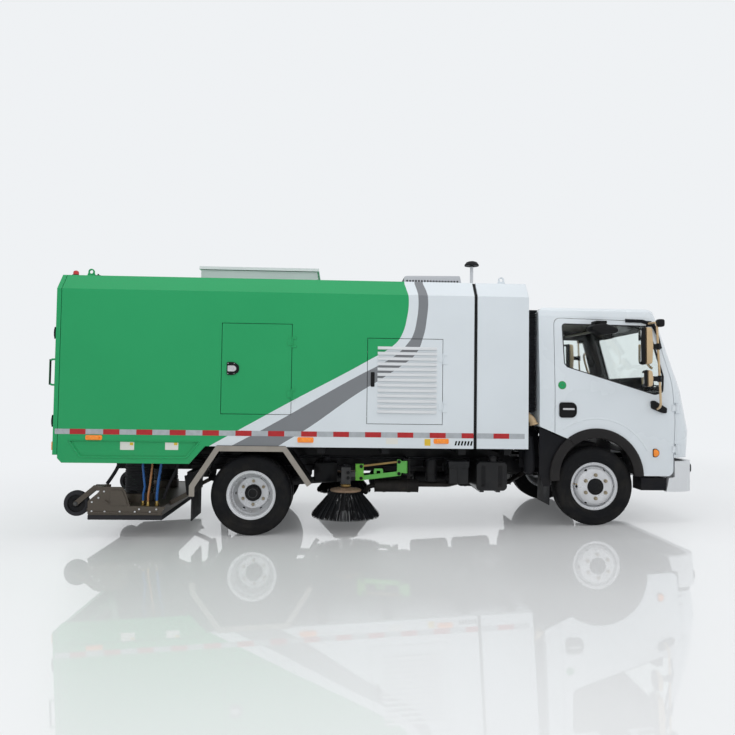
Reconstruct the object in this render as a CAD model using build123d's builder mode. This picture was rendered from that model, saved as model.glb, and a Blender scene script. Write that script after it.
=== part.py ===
"""Street sweeper truck: a forward-control light truck with a vacuum sweeper body.

Everything is drawn in the frame of the sprung chassis, in millimetres: X forward, Y to the left, Z up,
with the ground point under the rear axle as origin. The chassis stands a little nose down, so every
piece is turned by RAKE about that point as it is written, and moved so that the centre of the
finished truck's footprint is the origin.
"""
import os
from math import cos, radians, sin, sqrt

from build123d import *

# ---------------------------------------------------------------- driving sizes
RAKE = 1.78                 # nose-down attitude of the unladen chassis, degrees
WHEELBASE = 3308
RIGHT, LEFT = "right", "left"

# tyres and wheels
TYRE_R = 380
TYRE_W = 200
RIM_R = 230.5               # outside of the rim flange
RIM_SEAT_R = 203            # under the tyre bead
RIM_W = 164                 # across both flanges
RIM_T = 8
DISC_T = 12
DISC_SET = 115              # wheel centre plane to the mounting face of its disc
HUB_HOLE_R = 82
HUB_R = 78
FRONT_FLANGE_Y = 931        # outside of the front rim
REAR_FLANGE_Y = 993         # outside of the outer rear rim
DUAL_PITCH = 236            # between the planes of the twin tyres
FIT = 0.05                  # radial running clearance of a shaft in its bore
GAP = 5                     # between pieces that move past each other
SEAM = 0.3                  # between pieces that only lie against each other

# sweeper body
BODY_REAR, BODY_FRONT = -1830, 2080
BODY_HALF = 1080
ROOF_HALF = 950
ROOF_Z, SHOULDER_Z = 2441, 2293
FLOOR_Z = 843               # underside of the body floor
FLOOR_T = 40
WALL = 30
SKIRT_Z = 678               # lower edge of the rear side skirts
TAILGATE_T = 40
TAILGATE_Z = 750            # lower edge of the tailgate
DOOR_GAP = 5                # round a body door
DOOR_REACH = 6              # a door's hinge line stands this far outside the body side
NECK_L = 32                 # recessed neck between the body and the front compartment
NECK_IN = 12
COMPARTMENT_FRONT = 2605

# cab
CAB_REAR, CAB_FRONT = 2745, 4274
CAB_HALF = 972
CAB_ROOF_Z = 2226
CAB_WALL = 45
ARCH_X, ARCH_Z, ARCH_R = 3304, 583, 440
CAB_REAR_Z = 1058           # lower edge of the cab at its rear wall
SILL_Z = 590                # lower edge of the cab doors
CAB_FLOOR_Z = 795           # underside of the cab between the footwells
FOOTWELL_Y = 600            # inner side of each footwell
CAB_PIVOT = (4215, 765)     # tilting hinge, X and Z
CAB_EAR_Y, CAB_EAR_T, CAB_EAR_R, CAB_PIN_R, CAB_PLATE_T = 345, 40, 22, 12, 10
GLASS_T = 5

# chassis
RAIL_HALF = 375             # centre line to the outer face of a rail
RAIL_Z, RAIL_H = 553, 160
RAIL_W, RAIL_T = 60, 7
RAIL_REAR, RAIL_FRONT = -1460, 4120

# side brush, right side: Y is negative
BRUSH_X, BRUSH_Y = 882, -860
BRUSH_R, PLATE_R = 335, 150
PLATE_Z, PLATE_T = 408, 34
BRISTLE_Z = 160
LINK_Y = -800
LINK_FRONT_X, LINK_REAR_X = 1400, 1030
LINK_DROP = 47              # the links fall this much towards the rear
LOWER_LINK_Z, UPPER_LINK_Z = 575, 690
POST_X = 1465
PIN_R = 8

# suction head
HEAD_REAR, HEAD_FRONT = -1540, -850
HEAD_HALF = 950
HEAD_BOTTOM, HEAD_TOP = 180, 295
HEAD_PIVOT = (-660, 345)
HEAD_ARM_Y = 590
DUCT_X, DUCT_Y, DUCT_R = -1180, 530, 140
CASTOR_X, CASTOR_Z, CASTOR_R, CASTOR_W = -1675, 274, 122, 50
CASTOR_Y = 850


def to_chassis(x, z):
    """Point of the level ground frame as the raked chassis frame has it."""
    turn = radians(RAKE)
    return x * cos(turn) - z * sin(turn), x * sin(turn) + z * cos(turn)


REAR_AXLE = to_chassis(0, TYRE_R)
FRONT_AXLE = to_chassis(WHEELBASE, TYRE_R)
FRONT_TYRE_Y = FRONT_FLANGE_Y - RIM_W / 2
OUTER_TYRE_Y = REAR_FLANGE_Y - RIM_W / 2
INNER_TYRE_Y = OUTER_TYRE_Y - DUAL_PITCH
KINGPIN_Y = 720

pieces = {}


def keep(name, piece):
    """File a finished piece under its node's name."""
    pieces[name] = piece


def keep_pair(name, right_piece):
    """File a right-hand piece and its mirror image on the left."""
    pieces[f"{name}_{RIGHT}"] = right_piece
    pieces[f"{name}_{LEFT}"] = mirror(right_piece, about=Plane.XZ)


def side_plane(y):
    """Sketch plane of the truck's right side: X forward, Z up, normal outwards at Y = -y."""
    return Plane.XZ.offset(y)


def wheel_plane(x, z, y):
    """Plane across a right-hand wheel's axis at Y = -y, its normal pointing outwards."""
    return Plane(origin=(x, -y, z), x_dir=(1, 0, 0), z_dir=(0, -1, 0))


# ---------------------------------------------------------------- wheels and tyres
def tyre_outlines():
    """Closed outlines of a tyre's half section about its middle plane: radius, distance outboard."""
    half, seat = TYRE_W / 2, RIM_W / 2 - RIM_T - 1
    shoulder, tread = TYRE_R - 12, half - 34
    right_half = ((RIM_SEAT_R, seat), (RIM_R - 4, seat), (290, half), (330, half), (shoulder, half - 16),
                  (TYRE_R, tread))
    return [tuple((r, -y) for r, y in right_half) + right_half[::-1]]


def rim_outlines(disc_y):
    """Closed outlines of a rim's half section whose disc face lies disc_y outboard of its middle."""
    half, wall = RIM_W / 2, RIM_SEAT_R - SEAM
    low = min(10, disc_y - 45)
    channel = ((wall, -half + RIM_T), (RIM_R, -half + RIM_T - 1), (RIM_R, -half), (wall - RIM_T, -half),
               (wall - RIM_T, half), (RIM_R, half), (RIM_R, half - RIM_T + 1), (wall, half - RIM_T))
    disc = ((HUB_HOLE_R, disc_y), (150, disc_y), (wall - 20, low), (wall - RIM_T + 2, low),
            (wall - RIM_T + 2, low - DISC_T), (wall - 26, low - DISC_T), (142, disc_y - DISC_T),
            (HUB_HOLE_R, disc_y - DISC_T))
    return [channel, disc]


def spun(outlines, centre, y):
    """Closed outlines turned about the axis of a wheel whose middle plane is at Y = -y."""
    origin = (centre[0], -y, centre[1])
    with BuildPart() as solid:
        with BuildSketch(Plane(origin=origin, x_dir=(1, 0, 0), z_dir=(0, 0, -1))):
            for outline in outlines:
                with BuildLine():
                    Polyline(*outline, close=True)
                make_face()
        revolve(axis=Axis(origin, (0, 1, 0)))
    return solid.part


STUDS, STUD_R, STUD_PCR = 6, 10.25, 111

with BuildPart() as tyre_front:
    add(spun(tyre_outlines(), FRONT_AXLE, FRONT_TYRE_Y))
keep_pair("tyre_front", tyre_front.part)

with BuildPart() as rim_front:
    add(spun(rim_outlines(DISC_SET), FRONT_AXLE, FRONT_TYRE_Y))
    with BuildSketch(wheel_plane(*FRONT_AXLE, FRONT_TYRE_Y + DISC_SET)):
        with PolarLocations(STUD_PCR, STUDS):
            Circle(STUD_R)
    extrude(amount=-3 * DISC_T, mode=Mode.SUBTRACT)
    with BuildSketch(wheel_plane(*FRONT_AXLE, FRONT_TYRE_Y + DISC_SET - DISC_T)):
        Circle(HUB_HOLE_R + 45)
        Circle(35 + FIT, mode=Mode.SUBTRACT)
    extrude(amount=-60)
    with BuildSketch(wheel_plane(*FRONT_AXLE, FRONT_TYRE_Y + DISC_SET - DISC_T)):
        Circle(HUB_R)
        Circle(35 + FIT, mode=Mode.SUBTRACT)
    extrude(amount=DISC_T + 6)
keep_pair("rim_front", rim_front.part)

with BuildPart() as tyres_rear:
    add(spun(tyre_outlines(), REAR_AXLE, OUTER_TYRE_Y))
    add(spun(tyre_outlines(), REAR_AXLE, INNER_TYRE_Y))
keep_pair("tyres_rear", tyres_rear.part)

TWIN_Y = (OUTER_TYRE_Y + INNER_TYRE_Y) / 2      # where the two rear discs meet
inner_rim = spun(rim_outlines(TWIN_Y - INNER_TYRE_Y), REAR_AXLE, INNER_TYRE_Y)
outer_rim = mirror(inner_rim, about=side_plane(TWIN_Y))
with BuildPart() as rims_rear:
    add(inner_rim)
    add(outer_rim)
    with BuildSketch(wheel_plane(*REAR_AXLE, TWIN_Y + DISC_T)):
        with PolarLocations(STUD_PCR, STUDS):
            Circle(STUD_R)
    extrude(amount=-2 * DISC_T, mode=Mode.SUBTRACT)
    with BuildSketch(wheel_plane(*REAR_AXLE, TWIN_Y + 70)):
        Circle(HUB_R)
        Circle(45 + FIT, mode=Mode.SUBTRACT)
    extrude(amount=-140)
    with BuildSketch(wheel_plane(*REAR_AXLE, TWIN_Y - DISC_T)):
        Circle(HUB_HOLE_R + 45)
        Circle(45 + FIT, mode=Mode.SUBTRACT)
    extrude(amount=-20)
keep_pair("rims_rear", rims_rear.part)

# ---------------------------------------------------------------- axles, knuckles and springs
AXLE_TUBE_R = 45
BEAM_H, BEAM_W = 70, 60
BEAM_DROP = 20              # beam centre below the wheel centre
DIFF_R, PINION_L = 165, 120

with BuildPart() as axles:
    with Locations((FRONT_AXLE[0], 0, FRONT_AXLE[1] - BEAM_DROP)):
        Box(BEAM_W, 2 * (KINGPIN_Y - 30), BEAM_H)
    for side in (-1, 1):
        with BuildSketch(Plane.XY.offset(FRONT_AXLE[1] - 45)):
            with Locations((FRONT_AXLE[0], side * KINGPIN_Y)):
                Circle(32)
                Circle(14 + FIT, mode=Mode.SUBTRACT)
        extrude(amount=90)
    with Locations(Location((REAR_AXLE[0], 0, REAR_AXLE[1]), (90, 0, 0))):
        Cylinder(AXLE_TUBE_R + 20, 2 * (INNER_TYRE_Y - TYRE_W / 2 - 10))
        Cylinder(AXLE_TUBE_R, 2 * (TWIN_Y + 72))
    with BuildSketch(wheel_plane(*REAR_AXLE, -120)):
        Circle(DIFF_R)
    extrude(amount=240)
    with Locations(Location((REAR_AXLE[0] + DIFF_R, 0, REAR_AXLE[1]), (0, 90, 0))):
        Cone(70, 55, PINION_L)
keep("axles", axles.part)

PROP_R, FLANGE_R, FLANGE_T = 36, 50, 24
GEARBOX_REAR = 2480
with BuildPart() as propshaft:
    rear_face = Vector(REAR_AXLE[0] + DIFF_R + PINION_L / 2 + SEAM, 0, REAR_AXLE[1])
    front_face = Vector(GEARBOX_REAR - SEAM, 0, 560)
    start, end = rear_face + Vector(FLANGE_T / 2, 0, 0), front_face - Vector(FLANGE_T / 2, 0, 0)
    with BuildSketch(Plane(origin=start, z_dir=end - start)):
        Circle(PROP_R)
    extrude(amount=(end - start).length)
    for face_x, z in ((rear_face.X, rear_face.Z), (front_face.X - FLANGE_T, front_face.Z)):
        with BuildSketch(Plane.YZ.offset(face_x)):
            with Locations((0, z)):
                Circle(FLANGE_R)
        extrude(amount=FLANGE_T)
keep("propshaft", propshaft.part)

with BuildPart() as knuckle:
    for low, high in ((-75, -46), (46, 75)):
        with BuildSketch(Plane.XY.offset(FRONT_AXLE[1] + low)):
            with Locations((FRONT_AXLE[0], -KINGPIN_Y)):
                Circle(30)
                with Locations((0, -29)):
                    Rectangle(60, 58)
        extrude(amount=high - low)
    with BuildSketch(Plane.XY.offset(FRONT_AXLE[1] - 75)):
        with Locations((FRONT_AXLE[0], -KINGPIN_Y)):
            Circle(14)
    extrude(amount=150)
    with Locations((FRONT_AXLE[0], -KINGPIN_Y - 48, FRONT_AXLE[1])):
        Box(60, 20, 150)
    with BuildSketch(wheel_plane(*FRONT_AXLE, KINGPIN_Y + 50)):
        Circle(35)
    extrude(amount=FRONT_TYRE_Y + DISC_SET - KINGPIN_Y - 50 + 2)
keep_pair("knuckle", knuckle.part)

SPRING_W, LEAF_T, LEAVES = 60, 10, 5
SPRING_Y = 440
# spring centre X, seat height, half length, camber
SPRINGS = ((FRONT_AXLE[0], FRONT_AXLE[1] - BEAM_DROP + BEAM_H / 2 + SEAM, 560),
           (REAR_AXLE[0], REAR_AXLE[1] + AXLE_TUBE_R + 20 + SEAM, 545))
with BuildPart() as leaf_springs:
    for side in (-1, 1):
        for centre_x, seat_z, half_length in SPRINGS:
            for leaf in range(LEAVES):
                share = 1 - 0.17 * (LEAVES - 1 - leaf)
                with Locations((centre_x, side * SPRING_Y, seat_z + LEAF_T * (leaf + 0.5))):
                    Box(2 * half_length * share, SPRING_W, LEAF_T)
            top = seat_z + LEAF_T * LEAVES
            for end in (-1, 1):
                eye_x = centre_x + end * (half_length - 25)
                with BuildSketch(side_plane(-side * SPRING_Y).offset(-SPRING_W / 2)):
                    with Locations((eye_x, top + 16)):
                        Circle(24)
                extrude(amount=SPRING_W)
                with Locations((eye_x, side * (RAIL_HALF + 34), (top + 20 + RAIL_Z + 60) / 2)):
                    Box(60, 68, RAIL_Z + 60 - top - 20)
keep("leaf_springs", leaf_springs.part)

# ---------------------------------------------------------------- frame
SUBRAIL_FRONT = 2600
with BuildPart() as frame_rails:
    with BuildSketch(Plane.YZ.offset(RAIL_REAR)):
        with Locations((-(RAIL_HALF - RAIL_W / 2), RAIL_Z + RAIL_H / 2)):
            Rectangle(RAIL_W, RAIL_H)
            with Locations((RAIL_T, 0)):
                Rectangle(RAIL_W, RAIL_H - 2 * RAIL_T, mode=Mode.SUBTRACT)
    extrude(amount=RAIL_FRONT - RAIL_REAR)
    with BuildSketch(Plane.YZ.offset(RAIL_REAR)):
        with Locations((-(RAIL_HALF - RAIL_W / 2), (RAIL_Z + RAIL_H + FLOOR_Z) / 2)):
            Rectangle(RAIL_W, FLOOR_Z - RAIL_Z - RAIL_H)
    extrude(amount=SUBRAIL_FRONT - RAIL_REAR)
    mirror(about=Plane.XZ)
keep("frame_rails", frame_rails.part)

# crossmember X, underside Z, height
CROSSMEMBERS = ((-1430, 560, 140), (-330, 640, 66), (700, 640, 66), (1620, 640, 66), (2380, 640, 66),
                (4080, 560, 140))
BEARERS = (-1560, -760, 640, 1250, 1980, 2420)      # outriggers under the body floor
BEARER_Y, BEARER_W, BEARER_H = 1030, 70, 60
HEAD_BAR_X, HEAD_BAR_H = -660, 60
with BuildPart() as crossmembers:
    inner_half = RAIL_HALF - RAIL_T
    for x, z, height in CROSSMEMBERS:
        with Locations((x, 0, z + height / 2)):
            Box(60, 2 * inner_half - 1, height)
    for x in BEARERS:
        for side in (-1, 1):
            with Locations((x, side * (RAIL_HALF + BEARER_Y) / 2, FLOOR_Z - BEARER_H / 2)):
                Box(BEARER_W, BEARER_Y - RAIL_HALF, BEARER_H)
    # bar under the rails that carries the suction head's brackets
    with Locations((HEAD_BAR_X, 0, RAIL_Z - HEAD_BAR_H / 2)):
        Box(60, 2 * (HEAD_ARM_Y + 40), HEAD_BAR_H)
    for side in (-1, 1):
        for y in (HEAD_ARM_Y - 19, HEAD_ARM_Y + 19):
            with BuildSketch(side_plane(-side * y).offset(-4)):
                with BuildLine():
                    Polyline((HEAD_PIVOT[0] - 34, HEAD_PIVOT[1] - 20), (HEAD_PIVOT[0] + 34, HEAD_PIVOT[1] - 34),
                             (HEAD_BAR_X + 60, RAIL_Z - HEAD_BAR_H + 20), (HEAD_BAR_X - 60, RAIL_Z - HEAD_BAR_H + 20),
                             close=True)
                make_face()
            extrude(amount=8)
        with BuildSketch(side_plane(-side * HEAD_ARM_Y).offset(-23)):
            with Locations(HEAD_PIVOT):
                Circle(14)
        extrude(amount=46)
    # side brush brackets: beam from the rail, plate and two lugs with the post
    for side in (-1, 1):
        with Locations((POST_X + 35, side * (RAIL_HALF + 30 - LINK_Y) / 2, 655)):
            Box(16, -LINK_Y + 30 - RAIL_HALF, 110)
        with Locations((POST_X + 35, side * (-LINK_Y), 640)):
            Box(14, 60, 170)
        for z in (568, 712):
            with Locations((POST_X + 10, side * -LINK_Y, z)):
                Box(60, 50, 14)
        with Locations((POST_X, side * -LINK_Y, 640)):
            Cylinder(12, 158)
keep("crossmembers", crossmembers.part)

# ---------------------------------------------------------------- power units and tanks
ENGINE = (2960, 3560, 260, 540, 860)           # rear X, front X, half width, bottom, top
AUX_ENGINE = (1150, 1750, 380, FLOOR_Z + FLOOR_T + SEAM, 1500)
with BuildPart() as engines:
    for rear, front, half, low, high in (ENGINE, AUX_ENGINE):
        with Locations(((rear + front) / 2, 0, (low + high) / 2)):
            Box(front - rear, 2 * half, high - low)
    with Locations(((GEARBOX_REAR + ENGINE[0]) / 2, 0, 600)):
        Box(ENGINE[0] - GEARBOX_REAR, 300, 190)
keep("engines", engines.part)

TANK = (2137, 2437, 560, 950, 432, 710)        # rear X, front X, inner Y, outer Y, bottom, top
with BuildPart() as fuel_tank:
    with BuildSketch(side_plane(TANK[2])):
        with Locations(((TANK[0] + TANK[1]) / 2, (TANK[4] + TANK[5]) / 2)):
            RectangleRounded(TANK[1] - TANK[0], TANK[5] - TANK[4], 45)
    extrude(amount=TANK[3] - TANK[2])
    fillet(fuel_tank.edges().filter_by(GeomType.LINE, reverse=True), 12)
    for x in (TANK[0] + 70, TANK[1] - 70):
        with Locations((x, -(TANK[3] + RAIL_HALF) / 2 + 40, TANK[4] - 12)):
            Box(40, TANK[3] - RAIL_HALF - 80, 24)
        with Locations((x, -RAIL_HALF - 12, (TANK[4] + 700) / 2 - 12)):
            Box(40, 24, 700 - TANK[4] + 24)
    with BuildSketch(Plane.XY.offset(TANK[5] - 5)):
        with Locations((2310, -880)):
            Circle(40)
    extrude(amount=45)
keep("fuel_tank", fuel_tank.part)

BATTERY = (1872, 2062, 620, 950, 497, 707)
with BuildPart() as battery_box:
    with Locations(((BATTERY[0] + BATTERY[1]) / 2, -(BATTERY[2] + BATTERY[3]) / 2,
                    (BATTERY[4] + BATTERY[5]) / 2)):
        Box(BATTERY[1] - BATTERY[0], BATTERY[3] - BATTERY[2], BATTERY[5] - BATTERY[4])
    fillet(battery_box.edges().filter_by(Axis.Z), 15)
    with Locations(((BATTERY[0] + BATTERY[1]) / 2, -(BATTERY[2] + RAIL_HALF) / 2, BATTERY[4] + 70)):
        Box(90, BATTERY[2] - RAIL_HALF, 40)
keep("battery_box", battery_box.part)

MUFFLER = (1173, 1597, 700, 445, 64)           # rear X, front X, Y, Z, radius
PIPE_R = 26
with BuildPart() as exhaust:
    with BuildSketch(Plane.YZ.offset(MUFFLER[0])):
        with Locations((-MUFFLER[2], MUFFLER[3])):
            Circle(MUFFLER[4])
    extrude(amount=MUFFLER[1] - MUFFLER[0])
    with BuildLine() as pipe_route:
        FilletPolyline((MUFFLER[1] - 5, -700, 460), (1900, -700, 460), (2060, -470, 460), (2560, -470, 460),
                       (2720, -230, 490), (2860, -230, 590), (ENGINE[0] - SEAM, -230, 590), radius=60)
    with BuildSketch(Plane(origin=pipe_route.wire() @ 0, z_dir=pipe_route.wire() % 0)):
        Circle(PIPE_R)
    sweep()
    for x in (MUFFLER[0] + 90, MUFFLER[1] - 90):
        with Locations((x, -(MUFFLER[2] + RAIL_HALF) / 2, MUFFLER[3] + 130)):
            Box(30, MUFFLER[2] - RAIL_HALF, 12)
        with Locations((x, -MUFFLER[2], MUFFLER[3] + 95)):
            Box(30, 12, 82)
keep("exhaust", exhaust.part)

CANISTER = (1720, 800, 504, 719, 58)           # X, Y, bottom, top, radius
SNORKEL = (2680, 800, 1075, 2190, 37)
RESONATOR = (2668, 880, 597, 954, 56)
with BuildPart() as air_intake:
    for x, y, low, high, radius in (CANISTER, SNORKEL, RESONATOR):
        with BuildSketch(Plane.XY.offset(low)):
            with Locations((x, -y)):
                Circle(radius)
        extrude(amount=high - low)
    fillet(air_intake.edges().filter_by(GeomType.CIRCLE), 10)
    with Locations((CANISTER[0], -(CANISTER[1] + RAIL_HALF + SEAM) / 2, 640)):
        Box(60, CANISTER[1] - RAIL_HALF - SEAM, 60)
    with BuildLine() as elbow_route:
        FilletPolyline((SNORKEL[0], -SNORKEL[1], SNORKEL[2] + 20), (SNORKEL[0], -SNORKEL[1], 1042),
                       (RESONATOR[0], -RESONATOR[1], 985), (RESONATOR[0], -RESONATOR[1], 935), radius=55)
    with BuildSketch(Plane(origin=elbow_route.wire() @ 0, z_dir=elbow_route.wire() % 0)):
        Circle(30)
    sweep()
    for z in (1500, 1900):
        with Locations(((COMPARTMENT_FRONT + SNORKEL[0]) / 2, -SNORKEL[1], z)):
            Box(SNORKEL[0] - COMPARTMENT_FRONT - SEAM, 20, 40)
    with Locations((RESONATOR[0], -(RESONATOR[1] + RAIL_HALF) / 2, 680)):
        Box(50, RESONATOR[1] - RAIL_HALF, 30)
keep("air_intake", air_intake.part)

# ---------------------------------------------------------------- sweeper body
SHELL_REAR = BODY_REAR + TAILGATE_T + DOOR_GAP
SKIRT_FRONT = -579
ARCH_REAR = -435            # where the slant of the skirt meets the floor line
BAYS = ((SHELL_REAR, -415), (-385, 965), (995, BODY_FRONT - WALL))
# side doors: rear X, front X, lower Z, upper Z
CABINET_DOOR = (-297, 352, 1148, 1993)
LOUVRE_DOOR = (1069, 1779, 1071, 1874)
RECESS_D = 8                # depth of the pressed panel in each rear skirt


def body_form(inset, bottom, rear, front):
    """Length of the sweeper body's section between two X places, drawn in by an inset."""
    half, roof = BODY_HALF - inset, ROOF_Z - inset
    shoulder, roof_half = SHOULDER_Z - 0.4 * inset, ROOF_HALF - 0.4 * inset
    with BuildPart() as form:
        with BuildSketch(Plane.YZ.offset(rear)):
            with BuildLine():
                Polyline((-half, bottom), (-half, shoulder), (-roof_half, roof), (roof_half, roof), (half, shoulder),
                         (half, bottom), close=True)
            make_face()
        extrude(amount=front - rear)
    return form.part


def lug(x, y, z):
    """Lifting lug on the roof: a plate with an eye, across the truck's side."""
    with BuildPart() as plate:
        with BuildSketch(Plane.XZ.offset(-y - LUG_T / 2)):
            with BuildLine():
                Polyline((x - 45, z), (x - 26, z + LUG_EYE_H), (x + 26, z + LUG_EYE_H), (x + 45, z), close=True)
            make_face()
            with Locations((x, z + LUG_EYE_H)):
                Circle(30)
                Circle(LUG_EYE_R, mode=Mode.SUBTRACT)
        extrude(amount=LUG_T)
    return plate.part


LUG_X_REAR, LUG_X_FRONT, LUG_Y = -1600, 2388, 850
HINGE_R, HINGE_PIN_R, KNUCKLE_L = 9, 5, 90      # tailgate hinges
TAILGATE_HINGE = (BODY_REAR - 8, ROOF_Z + 12)
TAILGATE_HINGES_Y = (-700, 0, 700)
HINGE_PLATE_T = 12
DOOR_HINGE_R, DOOR_PIN_R, DOOR_KNUCKLE_L, DOOR_LEAF_L, LEAF_END_L = 6, 3, 60, 40, 20
CABINET_HINGES, LOUVRE_HINGES = (1338, 1825), (1235, 1690)
LUG_T, LUG_EYE_H, LUG_EYE_R = 14, 50, 17

with BuildPart() as body_shell:
    add(body_form(0, FLOOR_Z, SHELL_REAR, BODY_FRONT))
    for rear, front in BAYS:
        add(body_form(WALL, FLOOR_Z + FLOOR_T, rear, front), mode=Mode.SUBTRACT)
    for side in (-1, 1):
        with BuildSketch(Plane.XZ.offset(side * (BODY_HALF - WALL / 2) - WALL / 2)):
            with BuildLine():
                Polyline((SHELL_REAR, FLOOR_Z + 1), (SHELL_REAR, TAILGATE_Z - 30), (SHELL_REAR + 40, SKIRT_Z),
                         (SKIRT_FRONT, SKIRT_Z), (ARCH_REAR, FLOOR_Z + 1), close=True)
            make_face()
        extrude(amount=WALL)
        for rear, front, low, high in (CABINET_DOOR, LOUVRE_DOOR):
            with Locations(((rear + front) / 2, side * BODY_HALF, (low + high) / 2)):
                Box(front - rear + 2 * DOOR_GAP, 4 * WALL, high - low + 2 * DOOR_GAP, mode=Mode.SUBTRACT)
        with BuildSketch(Plane.XZ.offset(side * BODY_HALF - RECESS_D)):
            with BuildLine():
                Polyline((-1680, 887), (-500, 880), (-612, 737), (-1576, 735), close=True)
            make_face()
        extrude(amount=2 * RECESS_D, mode=Mode.SUBTRACT)
    for side in (-1, 1):
        with BuildSketch(Plane.XY.offset(FLOOR_Z - 5)):
            with Locations((DUCT_X, side * DUCT_Y)):
                Circle(DUCT_R - 12)
        extrude(amount=FLOOR_T + 10, mode=Mode.SUBTRACT)
        add(lug(LUG_X_REAR, side * LUG_Y, ROOF_Z - 1))
        # fixed leaves and pins of the side doors' hinges
        for (rear, front, low, high), hinges in ((CABINET_DOOR, CABINET_HINGES), (LOUVRE_DOOR, LOUVRE_HINGES)):
            hinge_x, hinge_y = front + DOOR_GAP, side * (BODY_HALF + DOOR_REACH)
            for z in hinges:
                for end in (-1, 1):
                    end_z = z + end * ((DOOR_KNUCKLE_L + LEAF_END_L) / 2 + SEAM)
                    with Locations((hinge_x, hinge_y, end_z)):
                        Cylinder(DOOR_HINGE_R, LEAF_END_L)
                    with Locations((hinge_x + DOOR_LEAF_L / 2, side * (BODY_HALF + DOOR_REACH / 2), end_z)):
                        Box(DOOR_LEAF_L, DOOR_REACH, LEAF_END_L)
                with Locations((hinge_x, hinge_y, z)):
                    Cylinder(DOOR_PIN_R, DOOR_KNUCKLE_L + LEAF_END_L)
    # fixed plates and pins of the tailgate's hinges
    for y in TAILGATE_HINGES_Y:
        for end in (-1, 1):
            plate_y = y + end * (KNUCKLE_L / 2 + SEAM + HINGE_PLATE_T / 2)
            with Locations(((TAILGATE_HINGE[0] - HINGE_R + SHELL_REAR + 30) / 2, plate_y, ROOF_Z + 10.5)):
                Box(SHELL_REAR + 30 - TAILGATE_HINGE[0] + HINGE_R, HINGE_PLATE_T, 21)
        with Locations(Location((TAILGATE_HINGE[0], y, TAILGATE_HINGE[1]), (90, 0, 0))):
            Cylinder(HINGE_PIN_R, KNUCKLE_L + HINGE_PLATE_T)
keep("body_shell", body_shell.part)

with BuildPart() as front_compartment:
    add(body_form(0, FLOOR_Z + 2, BODY_FRONT + NECK_L, COMPARTMENT_FRONT))
    add(body_form(NECK_IN, FLOOR_Z + 2, BODY_FRONT + SEAM, BODY_FRONT + NECK_L))
    add(body_form(WALL, FLOOR_Z + FLOOR_T, BODY_FRONT + NECK_L + WALL, COMPARTMENT_FRONT - WALL),
        mode=Mode.SUBTRACT)
    for side in (-1, 1):
        add(lug(LUG_X_FRONT, side * LUG_Y, ROOF_Z - 1))
keep("front_compartment", front_compartment.part)

HANDLE = (-1913, 1000, 1385, 1644)              # outer X, Y, bottom, top
with BuildPart() as tailgate:
    add(body_form(0, TAILGATE_Z, BODY_REAR, BODY_REAR + TAILGATE_T))
    for y in TAILGATE_HINGES_Y:
        with Locations((TAILGATE_HINGE[0] + 4.5, y, (ROOF_Z - 58 + TAILGATE_HINGE[1]) / 2)):
            Box(9, KNUCKLE_L, TAILGATE_HINGE[1] - ROOF_Z + 58)
        with Locations(Location((TAILGATE_HINGE[0], y, TAILGATE_HINGE[1]), (90, 0, 0))):
            Cylinder(HINGE_R, KNUCKLE_L)
            Cylinder(HINGE_PIN_R + FIT, KNUCKLE_L + 2, mode=Mode.SUBTRACT)
    for side in (-1, 1):
        with BuildLine() as handle_route:
            handle_y, outer_x, inner_x = side * HANDLE[1], HANDLE[0] + 9, BODY_REAR + 2
            FilletPolyline((inner_x, handle_y, HANDLE[2] + 10), (outer_x, handle_y, HANDLE[2] + 10),
                           (outer_x, handle_y, HANDLE[3] - 10), (inner_x, handle_y, HANDLE[3] - 10), radius=25)
        with BuildSketch(Plane(origin=handle_route.wire() @ 0, z_dir=handle_route.wire() % 0)):
            Circle(9)
        sweep()
keep("tailgate", tailgate.part)


def body_door(place, hinges):
    """Right-hand door flush with the body side, with two hinge knuckles on its front edge."""
    rear, front, low, high = place
    with BuildPart() as door:
        with BuildSketch(side_plane(BODY_HALF - WALL)):
            with Locations(((rear + front) / 2, (low + high) / 2)):
                Rectangle(front - rear, high - low)
        extrude(amount=WALL)
        for z in hinges:
            with Locations((front + DOOR_GAP - DOOR_LEAF_L / 2, -BODY_HALF - DOOR_REACH / 2, z)):
                Box(DOOR_LEAF_L, DOOR_REACH, DOOR_KNUCKLE_L)
            with Locations((front + DOOR_GAP, -BODY_HALF - DOOR_REACH, z)):
                Cylinder(DOOR_HINGE_R, DOOR_KNUCKLE_L)
                Cylinder(DOOR_PIN_R + FIT, DOOR_KNUCKLE_L + 2, mode=Mode.SUBTRACT)
    return door.part


keep_pair("cabinet_door", body_door(CABINET_DOOR, CABINET_HINGES))

SLOTS, SLOT_PITCH, SLOT_H = 13, 50, 16
SLOT_REAR, SLOT_FRONT, SLOT_Z = 1170, 1720, 1180
with BuildPart() as louvre_door:
    add(body_door(LOUVRE_DOOR, LOUVRE_HINGES))
    for slot in range(SLOTS):
        with Locations(((SLOT_REAR + SLOT_FRONT) / 2, -BODY_HALF + WALL / 2, SLOT_Z + slot * SLOT_PITCH)):
            Box(SLOT_FRONT - SLOT_REAR, 2 * WALL, SLOT_H, mode=Mode.SUBTRACT)
keep_pair("louvre_door", louvre_door.part)

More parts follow.
